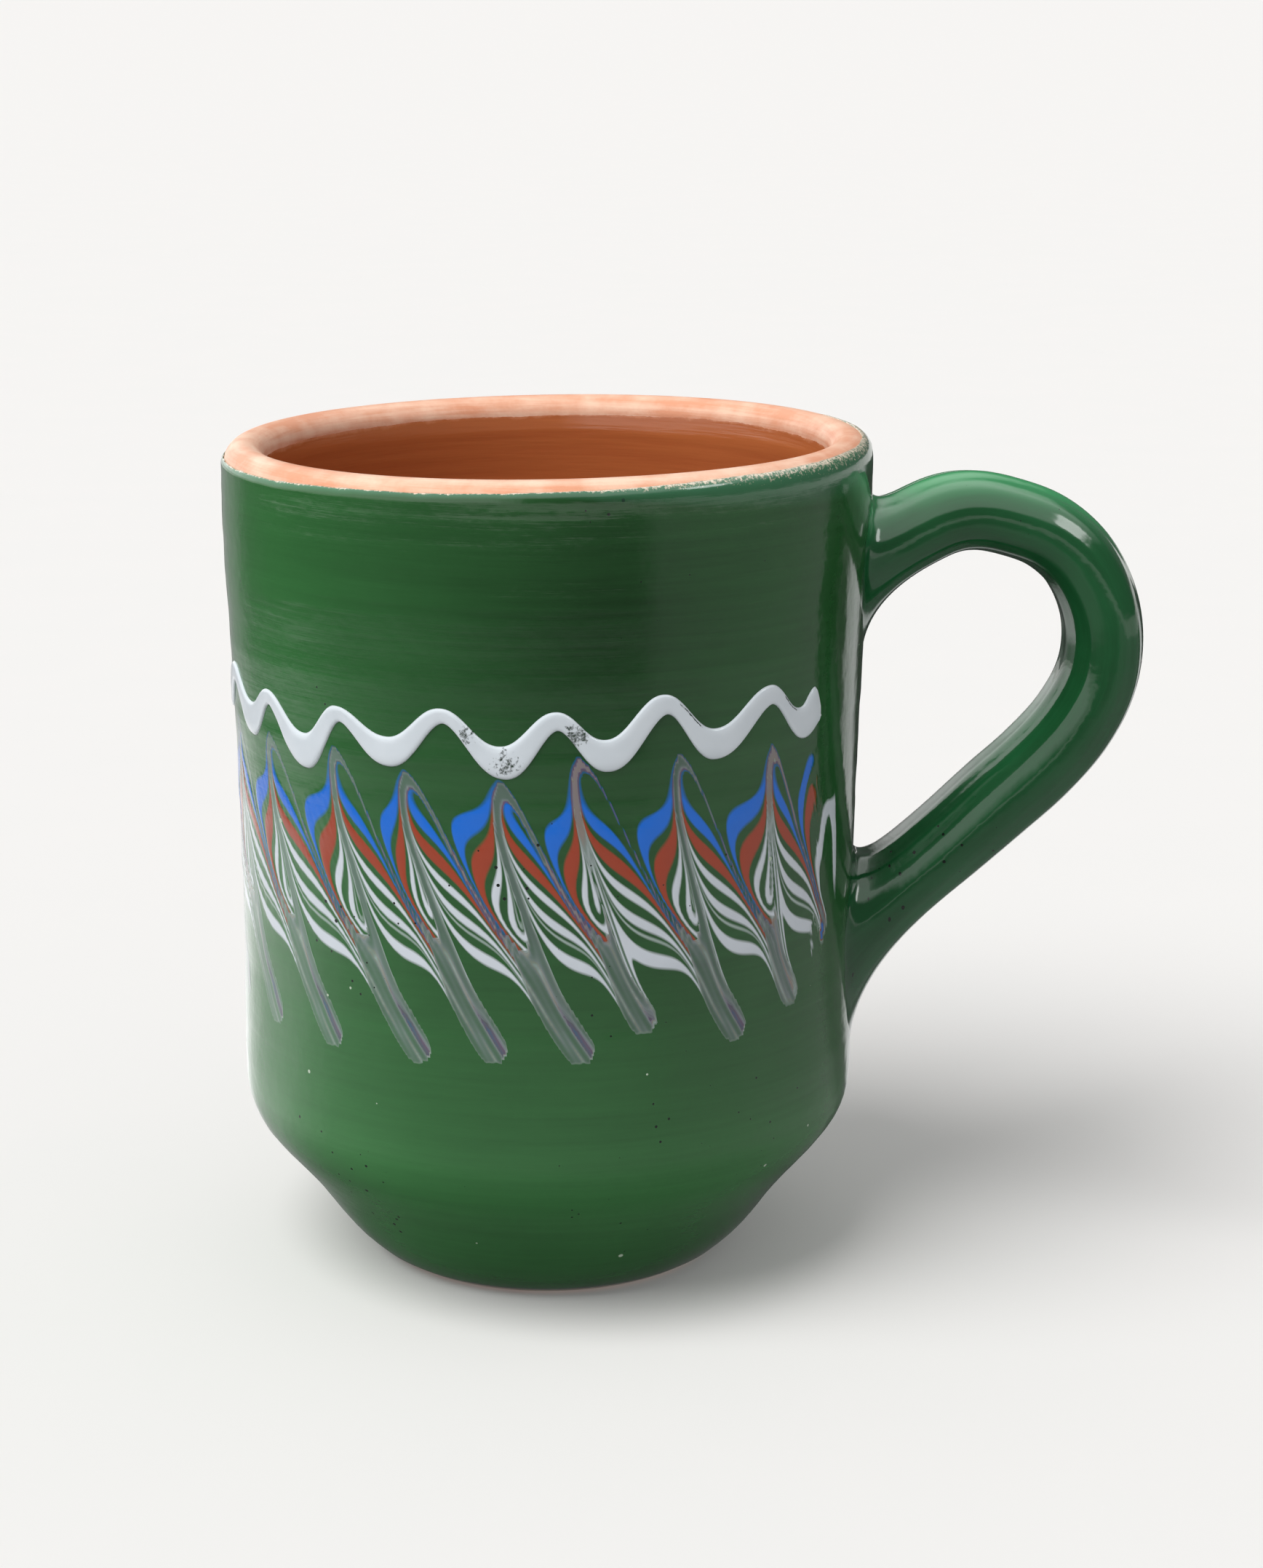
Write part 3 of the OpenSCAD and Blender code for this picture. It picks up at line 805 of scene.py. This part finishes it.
# Green coat of the wall, with the feathered slip in it

# Columns of the coat at its top: from, to and how many. They are closest where the decoration shows most
COLUMN_RUNS = [(-262, -110, 364), (-110, 62, 716), (62, 98, 36)]
# The columns lean with the strokes of the decoration: this much turn from the tips' height to the ends'
COLUMN_LEAN = 22.0
# All columns are used between these heights, and one in so many well above and below them
BAND_LOW = 36.0
BAND_HIGH = 83.0
ONE_IN = 4


def leaning(turn, height):
    """Turn of a column at a height: it changes evenly down the decorated part, and is the same above and
    below it."""
    return turn + COLUMN_LEAN * (TIP_H - np.clip(height, BAND_LOW, BAND_HIGH)) / (TIP_H - END_H)


def coat_skin(at, stop):
    """Points of the coat at a distance along the clay's outline. It thins to its upper edge as a quarter
    of a circle does."""
    radius, height = outline_point(at)
    out_r, out_z = outline_normal(at)
    inside = np.clip(-stop - at, 0, 1)
    thick = COAT_T * np.sqrt(np.clip(1 - (1 - inside) ** 2, 0, 1)) + COAT_EDGE_T
    return radius + out_r * thick, height + out_z * thick


def glaze_paleness_and_painted_light(turn, height):
    """How pale the green is, from 0 to 1. It is paler on the left, partly where less glaze lies and partly
    as painted light from the window; paler low down and on the shoulder, as painted light from the floor;
    and darker in a patch at the front near the top, as painted shade. Side, shoulder and patch are bell
    curves of turn and height."""
    side = np.exp(-((turn + 62) / 34) ** 2)
    low = eased((60 - height) / 40)
    shoulder = np.exp(-((height - 20) / 7) ** 2)
    patch = np.exp(-((turn - 8) / 22) ** 2 - ((height - 98) / 18) ** 2)
    return np.clip(0.33 + 0.43 * side + 0.17 * low + 0.3 * shoulder - 0.3 * patch, 0, 1)


def coat_groups(turns):
    """Groups of rows of the coat from the foot up: distances along the outline, and one column in how
    many is used."""
    wall = outline_at < 0
    at_height = lambda z: np.interp(z, outline[wall, 1], outline_at[wall])[:, None]
    low = np.concatenate([np.linspace(0.8, 25, 21), np.linspace(26.2, 34.8, 8)])
    band = [np.arange(BAND_LOW, 44, 0.5), np.arange(44, 72, 1.0), np.arange(72, BAND_HIGH, 0.5)]
    high = np.arange(84.4, 105, 1.5)
    edge_from = at_height(np.array([106.0]))
    edge_share = np.concatenate([np.linspace(0, 0.82, 9), np.linspace(0.86, 1, 12)])[:, None]
    edge_at = edge_from + edge_share * (-coat_stop(turns[::ONE_IN]) - edge_from)
    under = np.array([108, 100, 85, 65, 45, 35, 26, 20, 14, 8, 4, 1.2])
    return [
        (at_height(low), ONE_IN), (at_height(np.array([35.4])), 2), (at_height(np.concatenate(band)), 1),
        (at_height(np.array([83.4])), 2), (at_height(high), ONE_IN), (edge_at, ONE_IN),
    ], at_height(under)


def coat_faces(first, size):
    """Faces of all groups and between them. The last group lies under the others and closes the coat."""
    faces = []
    for group, (rows, columns) in enumerate(size):
        after = (group + 1) % len(size)
        end = first[group] + (rows - 1) * columns
        faces.append(ring_faces(rows, columns, first[group]))
        if size[after][1] == columns:
            faces.append(join_faces(end, first[after], columns))
        elif size[after][1] > columns:
            faces.append(step_faces(end, first[after], columns, True))
        else:
            faces.append(step_faces(first[after], end, size[after][1], False))
    return faces


def green_coat():
    """The coat's skin group by group, raised where lines of slip cover it, and an underside in the clay."""
    turns = np.concatenate([np.linspace(a, b, n, endpoint=False) for a, b, n in COLUMN_RUNS])
    groups, under_at = coat_groups(turns)
    points, first, size = [], [], []
    facts = {"laid": [], "mixed": [], "there": [], "edge": [], "paleness": []}
    for at, pick in groups:
        column = turns[::pick][None, :]
        at = np.broadcast_to(at, (len(at), column.size))
        turn = leaning(column, outline_point(at)[1])
        radius, height = coat_skin(at, coat_stop(turn))
        laid, mixed, there = height, np.full(height.shape, 0.1), np.zeros(height.shape)
        if pick == 1:
            laid, mixed, there = feathered(turn, height)
            covered = sum(cover(laid, mixed, middle, width) for middle, width, _ in SLIP_LINES)
            radius = radius + SLIP_PROUD * there * covered
        # The coat breaks up over this much below its edge, more on the handle's side
        dry = 0.35 + 2.4 * eased((np.sin(np.radians(turn)) + 0.1) / 1.1)
        edge = 0.42 + 0.4 * np.clip((-coat_stop(turn) - at) / dry, 0, 3)
        first.append(sum(len(p) for p in points))
        size.append(at.shape)
        points.append(shaken(radius, turn, height).reshape(-1, 3))
        # The last fact is how pale the green is by place: partly less glaze, partly painted light and
        # painted shade
        for values, seen in zip(facts.values(), (laid, mixed, there, edge, glaze_paleness_and_painted_light(turn, height))):
            values.append(seen.ravel())
    radius, height = outline_point(under_at)
    out_r, out_z = outline_normal(under_at)
    under_deep = 0.12
    under_turn = leaning(turns[::ONE_IN], height)
    under = shaken(radius - under_deep * out_r, under_turn, height - under_deep * out_z)
    first.append(sum(len(p) for p in points))
    size.append(under.shape[:2])
    points.append(under.reshape(-1, 3))
    for values in facts.values():
        values.append(np.full(under[..., 0].size, OUT_OF_SIGHT))
    make_piece(
        "green_coat", np.vstack(points), coat_faces(first, size), GREEN_ON_WALL,
        {name: np.concatenate(values) for name, values in facts.items()},
        stands_for=["body_glaze", "blue_slip", "red_slip", "white_slip", "pale_slip"])


# White wave

def wave_edges():
    """Turning points of both edges, with the unseen ones added round the back at the wave's pitch, with
    a seeded sway."""
    sway = np.random.default_rng(11).uniform(-1, 1, (12, 4))
    top, foot = [], []
    count = int((WAVE_TOP[0][0] - BAND_FIRST) / WAVE_PITCH)
    for n in range(count, 0, -1):
        s = sway[n]
        trough = WAVE_TOP[0][0] - n * WAVE_PITCH
        crest = trough + WAVE_PITCH / 2
        up, crest_up = 0.5 * s[1], 0.5 * s[3]
        top += [(trough + s[0], BACK_TROUGH[0] + up), (crest + s[2], BACK_CREST[0] + crest_up)]
        foot += [(trough + 0.6 + s[0], BACK_TROUGH[1] + up), (crest + 0.5 + s[2], BACK_CREST[1] + crest_up)]
    first = (BAND_FIRST, 84.0)
    return [first] + top + WAVE_TOP, [first] + foot + WAVE_FOOT


def between_turns(points, turn, sharp):
    """A line that is level at each turning point and eases from one to the next, by the mean of the
    cubic and the fifth-degree ease. Sharp is 1, or less for crests that are narrower than the troughs:
    it is the power of the way from a crest."""
    p = np.array(points)
    i = np.clip(np.searchsorted(p[:, 0], turn) - 1, 0, len(p) - 2)
    t = np.clip((turn - p[i, 0]) / (p[i + 1, 0] - p[i, 0]), 0, 1)
    falls = p[i, 1] > p[i + 1, 1]
    way = np.where(falls, t, 1 - t) ** sharp
    share = (eased(way) + way**3 * (6 * way**2 - 15 * way + 10)) / 2
    crest, trough = np.where(falls, p[i, 1], p[i + 1, 1]), np.where(falls, p[i + 1, 1], p[i, 1])
    return crest + share * (trough - crest)


# Worn spots of the wave: turn, height, size and strength
WEAR_SPOTS = [
    (-13.6, 83.0, 2.0, 0.53), (-7.0, 79.4, 3.0, 0.5), (4.6, 83.2, 2.6, 0.53), (-96, 80, 2.6, 0.5),
    (-160, 82, 2.2, 0.5),
]
# Cracks just under its upper edge: turn and half the length, in degrees
CRACKS = [(24.5, 3.0), (46.0, 2.5), (-118.0, 3.0)]


def white_wave():
    """The wave as rings from edge to edge over its dome, and back through the coat. The dome is the root
    of 1 less the fourth power of the way across."""
    top, foot = wave_edges()
    turn = np.arange(BAND_FIRST, WAVE_TOP[-1][0], 0.3)[:, None]
    upper, lower = between_turns(top, turn, 1), between_turns(foot, turn, 0.8)
    middle, half = (upper + lower) / 2, np.maximum((upper - lower) / 2, 0.05)
    across = np.linspace(-1, 1, 17)[None, :]
    height = middle + half * across
    dome = np.sqrt(np.clip(1 - np.abs(across) ** 4, 0, 1))
    lift = WAVE_PROUD * np.clip(half / 1.2, 0.15, 1) * dome - WAVE_SUNK
    skin = placed(coat_r(turn, height) + lift, turn, height)
    under_height = middle + half * across[:, ::-1][:, 1:-1][:, ::3]
    under = placed(coat_r(turn, under_height) - WAVE_DEEP, turn, under_height)
    rings = np.concatenate([skin, under], axis=1)
    wear = np.zeros(rings.shape[:2])
    spots = wear[:, :height.shape[1]]
    for at, z, size, strength in WEAR_SPOTS:
        away = np.hypot(np.radians(turn - at) * WALL_R, height - z)
        np.maximum(spots, strength * np.exp(-(away / size) ** 2), out=spots)
    under_edge = np.exp(-((upper - height - 0.5) / 0.22) ** 2)
    for at, half_length in CRACKS:
        np.maximum(spots, 0.68 * under_edge * np.exp(-((turn - at) / half_length) ** 4), out=spots)
    points = np.vstack([rings.reshape(-1, 3), rings[0].mean(0), rings[-1].mean(0)])
    make_piece(
        "white_wave_line", points, capped_faces(*rings.shape[:2]), WHITE_SLIP,
        {"wear": np.concatenate([wear.ravel(), [0.0, 0.0]])}, stands_for=["white_wave"])


# Handle

# The strap's middle line: how far it stands off the wall, and its highest and lowest height
REACH = 33.6
STRAP_TOP = 104.5
STRAP_LOW = 46.5
STRAP_T = 10.0
STRAP_W = 16.5
# Middle line of the strap: shares of the reach and of the height between its ends, of the thickness and
# of the width
STRAP_SHARES = [
    (0.14, 0.942, 0.98, 1.05), (0.3, 0.988, 0.97, 1.01), (0.43, 1, 0.96, 0.98), (0.57, 0.986, 0.95, 0.96),
    (0.726, 0.952, 0.95, 0.95), (0.86, 0.888, 0.96, 0.95), (0.958, 0.795, 0.97, 0.95),
    (1, 0.693, 0.99, 0.95), (0.982, 0.588, 1.02, 0.95), (0.896, 0.483, 1.05, 0.95),
    (0.762, 0.388, 1.07, 0.96), (0.601, 0.3, 1.07, 0.98), (0.411, 0.197, 1.03, 1), (0.23, 0.105, 1, 1.05),
]
# How far a joint's clay is smoothed past the strap, sideways, and on the outer and the inner face's side
SPREAD_SIDE = 2.6
UPPER_SPREAD = (1.2, 6.4)
LOWER_SPREAD = (10.4, 3.4)
# The coat over a joint reaches this much further than its clay, and ends this deep in the cup's coat
COAT_PAST = 0.9
COAT_SUNK = 0.07
STRAP_COLUMNS = 128
SPAN_STEPS = 8
# Sizes of the clay and of the coat's inner face as shares of the coat's outer size
CLAY_SHARE = 0.93
INNER_SHARE = 0.94


def strap_section(columns):
    """Thickness and width shares of the strap's outline: an oval drawn a little square by a root of the
    cosine and sine, with shallow lengthwise ridges left by the pulling hand."""
    a = 2 * np.pi * np.arange(columns) / columns
    square = 2 / 2.35
    thick = np.sign(np.cos(a)) * np.abs(np.cos(a)) ** square
    wide = np.sign(np.sin(a)) * np.abs(np.sin(a)) ** square
    ridge = 0.16 * np.cos(9 * a + 0.6) * np.clip(np.cos(a), 0, 1) + 0.06 * np.cos(14 * a)
    return a, thick, wide, ridge


def strap_rings():
    """Rings of the strap's outline, set square to a smooth middle line, with that line's slopes."""
    shares = np.array(STRAP_SHARES)
    height = STRAP_LOW + shares[:, 1] * (STRAP_TOP - STRAP_LOW)
    wall = np.interp(height, coat_curve[:, 0], coat_curve[:, 1]) - COAT_T
    half_t = shares[:, 2] * STRAP_T / 2 + COAT_T
    half_w = shares[:, 3] * STRAP_W / 2 + COAT_T
    line = smooth_line(np.stack([wall + shares[:, 0] * REACH, height, half_t, half_w], -1), SPAN_STEPS)
    slope = np.gradient(line[:, :2], axis=0)
    slope /= np.linalg.norm(slope, axis=1)[:, None]
    _, thick, wide, ridge = strap_section(STRAP_COLUMNS)
    deep = line[:, 2:3] * thick[None, :] + ridge[None, :]
    side = line[:, 3:4] * wide[None, :]
    rings = np.stack([line[:, :1] - slope[:, 1:] * deep, side, line[:, 1:2] + slope[:, :1] * deep], -1)
    return rings, slope


def on_wall(y, z, lift):
    """The point of the wall on the handle's side at a sideways place and a height."""
    turn = 90 + np.degrees(np.arctan2(y, 43.0))
    r = coat_r(turn, z) + lift
    return np.stack([np.sqrt(r**2 - y**2), y, z], -1)


def end_on_wall(ring, slope, lift):
    """A strap ring carried along its slope to the wall, in three passes that each come closer."""
    z = ring[:, 2]
    for _ in range(3):
        x = on_wall(ring[:, 1], z, lift)[:, 0]
        z = ring[:, 2] + (x - ring[:, 0]) * slope[1] / slope[0]
    return on_wall(ring[:, 1], z, lift)


def flare(rings, slope, end, spread, upper):
    """Rings from a joint's edge on the wall to the strap: each point runs on a curve of second degree
    from the edge, by the place where the strap would meet the wall, to the strap."""
    a, _, _, _ = strap_section(STRAP_COLUMNS)
    end_ring = end_on_wall(rings[end], slope[end], 0.5)
    out, into = spread
    up = 1 if upper else -1
    y = end_ring[:, 1] + (SPREAD_SIDE + COAT_PAST) * np.sin(a)
    z = end_ring[:, 2] + up * (np.where(np.cos(a) > 0, out, into) + COAT_PAST) * np.cos(a)
    edge = on_wall(y, z, -COAT_SUNK)
    count = 18
    t = (np.arange(count) / count)[:, None, None]
    near = SPAN_STEPS // 2 if upper else len(rings) - 1 - SPAN_STEPS // 2
    return (edge * (1 - t) + end_ring * t) * (1 - t) + (end_ring * (1 - t) + rings[near] * t) * t


def clay_rings(name, rings, node):
    """Clay under the coat: the coat's rings, each drawn in towards its middle, with a fan of faces at
    both ends."""
    middle = rings.mean(1, keepdims=True)
    points = np.vstack([(middle + (rings - middle) * CLAY_SHARE).reshape(-1, 3), middle[[0, -1], 0]])
    faces = capped_faces(len(rings), STRAP_COLUMNS)
    make_piece(name, points, faces, TERRACOTTA, stands_for=[node])


def handle_pieces():
    """The handle's clay, the clay of its two joints and the green coat over all three."""
    rings, slope = strap_rings()
    top = flare(rings, slope, 0, UPPER_SPREAD, True)
    low = flare(rings, slope, len(rings) - 1, LOWER_SPREAD, False)[::-1]
    strap = rings[SPAN_STEPS // 2:len(rings) - SPAN_STEPS // 2]
    clay_rings("clay_strap", strap, "handle")
    clay_rings("upper_joint", top, "upper_joint_clay")
    clay_rings("lower_joint", low, "lower_joint_clay")
    skin = np.concatenate([top, strap, low])
    middle = skin.mean(1, keepdims=True)
    inner = (middle + (skin - middle) * INNER_SHARE)[::-1][::4]
    # At both ends the inner face comes close to the skin, and goes a little deeper into the wall
    for row in (0, -1):
        inner[-1 - row] = skin[row] * 0.985 + middle[row] * 0.015 - [0.3, 0, 0]
    shell = np.concatenate([skin, inner])
    along = np.concatenate([[0], np.cumsum(np.linalg.norm(np.diff(middle[:, 0], axis=0), axis=1))]) * MM
    _, thick, wide, _ = strap_section(STRAP_COLUMNS)
    place = np.zeros(shell.shape)
    place[:len(skin), :, 0] = along[:, None]
    place[:, :, 1] = thick[None, :] * STRAP_T / 2 * MM
    place[:, :, 2] = wide[None, :] * STRAP_W / 2 * MM
    faces = [ring_faces(len(shell), STRAP_COLUMNS, close=True)]
    # The coat is paler where it faces up and higher up: painted light from above
    out_way = skin - middle
    upward = out_way[..., 2] / np.linalg.norm(out_way, axis=2)
    paleness = np.full(shell.shape[:2], 0.12)
    paleness[:len(skin)] += 0.75 * eased((upward - 0.25) / 0.7) * eased((skin[..., 2] - 60) / 30)
    facts = {"strap_place": place.reshape(-1, 3), "paleness": paleness.ravel()}
    make_piece(
        "handle_coat", shell.reshape(-1, 3), faces, GREEN_ON_STRAP, facts,
        stands_for=["handle_glaze"])


clay_cup()
clear_lining()
green_coat()
white_wave()
handle_pieces()


# Floor, light and camera

BACKGROUND = "#f5f3f1"


def stage_sheet(name, points, material):
    """A flat face that belongs to the stage and not to the mug."""
    mesh = bpy.data.meshes.new(name)
    mesh.from_pydata(points, [], [tuple(range(len(points)))])
    mesh.materials.append(material)
    sheet = bpy.data.objects.new(name, mesh)
    bpy.context.scene.collection.objects.link(sheet)
    return sheet


# Light of the floor itself, which keeps its shadows open
FLOOR_GLOW = 0.09
# Half a side of the floor and of the painted sheet, in metres
FLOOR_HALF = 40.0
SHEET_HALF = 0.9


def square(half, height):
    """Corners of a level square round the mug."""
    return [(x * half, y * half, height) for x, y in ((-1, -1), (1, -1), (1, 1), (-1, 1))]


def pale_floor():
    """A paper floor that the camera sees white. It throws less light up at the mug, as a smaller sheet
    would."""
    material, tree = new_material("matt_paper")
    ray = add(tree, "LightPath")
    paper = blend(tree, noise(tree, object_place(tree), 30, 2.0), "#e2e1df", "#e4e2e0")
    colour = blend(tree, ray.outputs["Is Diffuse Ray"], paper, "#b4b3b2")
    finish_material(tree, {
        "Base Color": colour, "Roughness": 0.9, "Specular IOR Level": 0.0,
        "Emission Color": WHITE, "Emission Strength": FLOOR_GLOW
    })
    stage_sheet("floor", square(FLOOR_HALF, 0), material)


# A painted sheet lies round the mug, and only the mug's gloss sees it. Its brightness near the mug and
# far off, by the turn from the front, which is less than nothing on the left
SHEET_NEAR = [
    (-180, 0.6), (-160, 1.0), (-140, 1.5), (-118, 1.1), (-96, 1.2), (-70, 0.6), (-40, 0.4), (34, 0.4),
    (44, 0.45), (72, 0.5), (108, 0.35), (117, 0.15), (129, 0.15), (133, 0.8), (145, 0.8), (150, 0.05),
    (170, 0.05), (180, 0.6),
]
SHEET_FAR = [
    (-180, 0.06), (-165, 0.3), (-160, 0.4), (-140, 0.4), (-125, 0.13), (-108, 0.06), (-85, 0.06),
    (-60, 0.11), (30, 0.12), (37, 0.38), (108, 0.38), (116, 0.06), (128, 0.06), (131, 0.9), (143, 0.9),
    (147, 0.04), (180, 0.06),
]
# Distances from the mug's axis in metres: up to the first the sheet is as near the mug, from the second
# as far off, and in between it changes over
NEAR_ENDS = 0.22
FAR_STARTS = 0.42
# The mug's own shade darkens the sheet from the second distance inwards, and most from the first. The
# brightness above is multiplied by these at the two distances
SHADE_ENDS = (0.04, 0.085)
SHADE_LIGHT = (0.4, 2.0)


def sheet_light(tree, turn, stops):
    """Half the brightness by turn, straight between stops. Turns from -180 to 180 degrees are 0 to 1
    here."""
    ramp = add(tree, "FloatCurve", {"Value": turn})
    curve = ramp.mapping.curves[0]
    for degrees, light in stops[1:-1]:
        curve.points.new((degrees + 180) / 360, light / 2)
    curve.points[0].location = (0, stops[0][1] / 2)
    curve.points[-1].location = (1, stops[-1][1] / 2)
    for point in curve.points:
        point.handle_type = "VECTOR"
    ramp.mapping.update()
    return ramp.outputs["Value"]


def reflected_sheet():
    """The painted sheet: light by turn and distance, with a ragged noise that shifts the turn a little."""
    material, tree = new_material("painted_sheet")
    place = object_place(tree)
    parts = add(tree, "SeparateXYZ", {0: place})
    ahead = reckon(tree, "MULTIPLY", parts.outputs["Y"], -1.0)
    angle = reckon(tree, "ARCTAN2", parts.outputs["X"], ahead)
    share = reckon(tree, "MULTIPLY_ADD", angle, 1 / (2 * math.pi), 0.5)
    away = add(tree, "VectorMath", {0: place}, operation="LENGTH").outputs["Value"]
    sector = reckon(tree, "MULTIPLY", share, 9.0)
    bands = reckon(tree, "MULTIPLY", away, 1 / (9 * MM))
    spot = add(tree, "CombineXYZ", {"X": sector, "Y": bands}).outputs[0]
    ragged = add(tree, "TexNoise", {
        "Vector": spot, "Scale": 1.0, "Detail": 3.0, "Roughness": 0.6
    }).outputs["Fac"]
    shift = spread(tree, ragged, 0.0, 1.0, -0.018, 0.018)
    turn = reckon(tree, "ADD", shift, share, clamp=True)
    far = spread(tree, away, NEAR_ENDS, FAR_STARTS, interpolation_type="SMOOTHSTEP")
    light = add(tree, "Mix", {
        0: far, 2: sheet_light(tree, turn, SHEET_NEAR), 3: sheet_light(tree, turn, SHEET_FAR)
    }, data_type="FLOAT").outputs[0]
    shade = spread(tree, away, *SHADE_ENDS, *SHADE_LIGHT)
    strength = reckon(tree, "MULTIPLY", light, shade)
    glow = add(tree, "Emission", {"Color": WHITE, "Strength": strength})
    add(tree, "OutputMaterial", {"Surface": glow.outputs[0]})
    sheet = stage_sheet("painted_sheet", square(SHEET_HALF, MM), material)
    sheet.visible_camera = False
    sheet.visible_diffuse = False
    sheet.visible_transmission = False
    sheet.visible_shadow = False


# The window is to the left of the camera and high: its turn from the front, its rise above the floor and
# its width, all in degrees, and its brightness and the room's
WINDOW_TURN = -50.0
WINDOW_RISE = 56.0
WINDOW_WIDE = 44.0
WINDOW_LIGHT = 2.5
ROOM_LIGHT = 0.43
# Direction of a small skylight that only the gloss shows, and its brightness
SKYLIGHT = (0.7, -0.33, 0.634)
SKYLIGHT_GLOW = 7.0


def room_light():
    """Soft window light from the upper left in a pale room. In the gloss the room is bright high up and
    on the left."""
    world = bpy.data.worlds.new("room")
    bpy.context.scene.world = world
    world.use_nodes = True
    tree = world.node_tree
    tree.nodes.clear()
    ray = add(tree, "LightPath")
    way = add(tree, "TexCoord").outputs["Generated"]
    parts = add(tree, "SeparateXYZ", {0: way})
    high = spread(tree, parts.outputs["Z"], 0.45, 0.66, 0.12, 1.6)
    left = spread(tree, parts.outputs["X"], -0.1, -0.3, 0.12, 1.5)
    room = reckon(tree, "MAXIMUM", high, left)
    near = add(tree, "VectorMath", {0: way, 1: SKYLIGHT}, operation="DOT_PRODUCT").outputs["Value"]
    room = reckon(tree, "ADD", room, spread(tree, near, 0.988, 0.994, 0.0, SKYLIGHT_GLOW))
    light, gloss, back = (
        add(tree, "Background", {"Color": colour, "Strength": strength}).outputs[0]
        for colour, strength in ((WHITE, ROOM_LIGHT), (WHITE, room), (linear(BACKGROUND), 1.0)))
    mirrored = add(tree, "MixShader", {0: ray.outputs["Is Glossy Ray"], 1: light, 2: gloss})
    seen = add(tree, "MixShader", {
        0: ray.outputs["Is Camera Ray"], 1: mirrored.outputs[0], 2: back
    })
    add(tree, "OutputWorld", {"Surface": seen.outputs[0]})
    sun = bpy.data.lights.new("window_light", "SUN")
    sun.energy = WINDOW_LIGHT
    sun.angle = math.radians(WINDOW_WIDE)
    lamp = bpy.data.objects.new("window_light", sun)
    lamp.rotation_euler = (math.radians(90 - WINDOW_RISE), 0, math.radians(WINDOW_TURN))
    lamp.visible_glossy = False
    bpy.context.scene.collection.objects.link(lamp)


def photo_camera():
    """The camera of the photograph: its place and turn were fitted to the rim, the outline and the
    handle. The photograph's long side and the focal length are in pixels."""
    place = (0.0, -430.0, 175.6)
    yaw, pitch, roll = (math.radians(a) for a in (1.54, 14.30, 0.25))
    long_side, focal = 2155, 4386
    cy, sy, cp, sp, cr, sr = (f(a) for a in (yaw, pitch, roll) for f in (math.cos, math.sin))
    right = np.array([cy, -sy, 0])
    up = np.array([sp * sy, sp * cy, cp])
    ahead = np.array([cp * sy, cp * cy, -sp])
    axes = np.stack([cr * right + sr * up, cr * up - sr * right, -ahead], 1)
    turned = np.eye(4)
    turned[:3, :3] = axes
    turned[:3, 3] = np.array(place) * MM
    data = bpy.data.cameras.new("camera")
    data.sensor_width = 36.0
    data.lens = focal * 36.0 / long_side
    data.clip_start = 0.01
    camera = bpy.data.objects.new("camera", data)
    camera.matrix_world = Matrix(turned.tolist())
    bpy.context.scene.collection.objects.link(camera)
    bpy.context.scene.camera = camera


pale_floor()
reflected_sheet()
room_light()
photo_camera()
bpy.context.scene.view_settings.view_transform = "Standard"
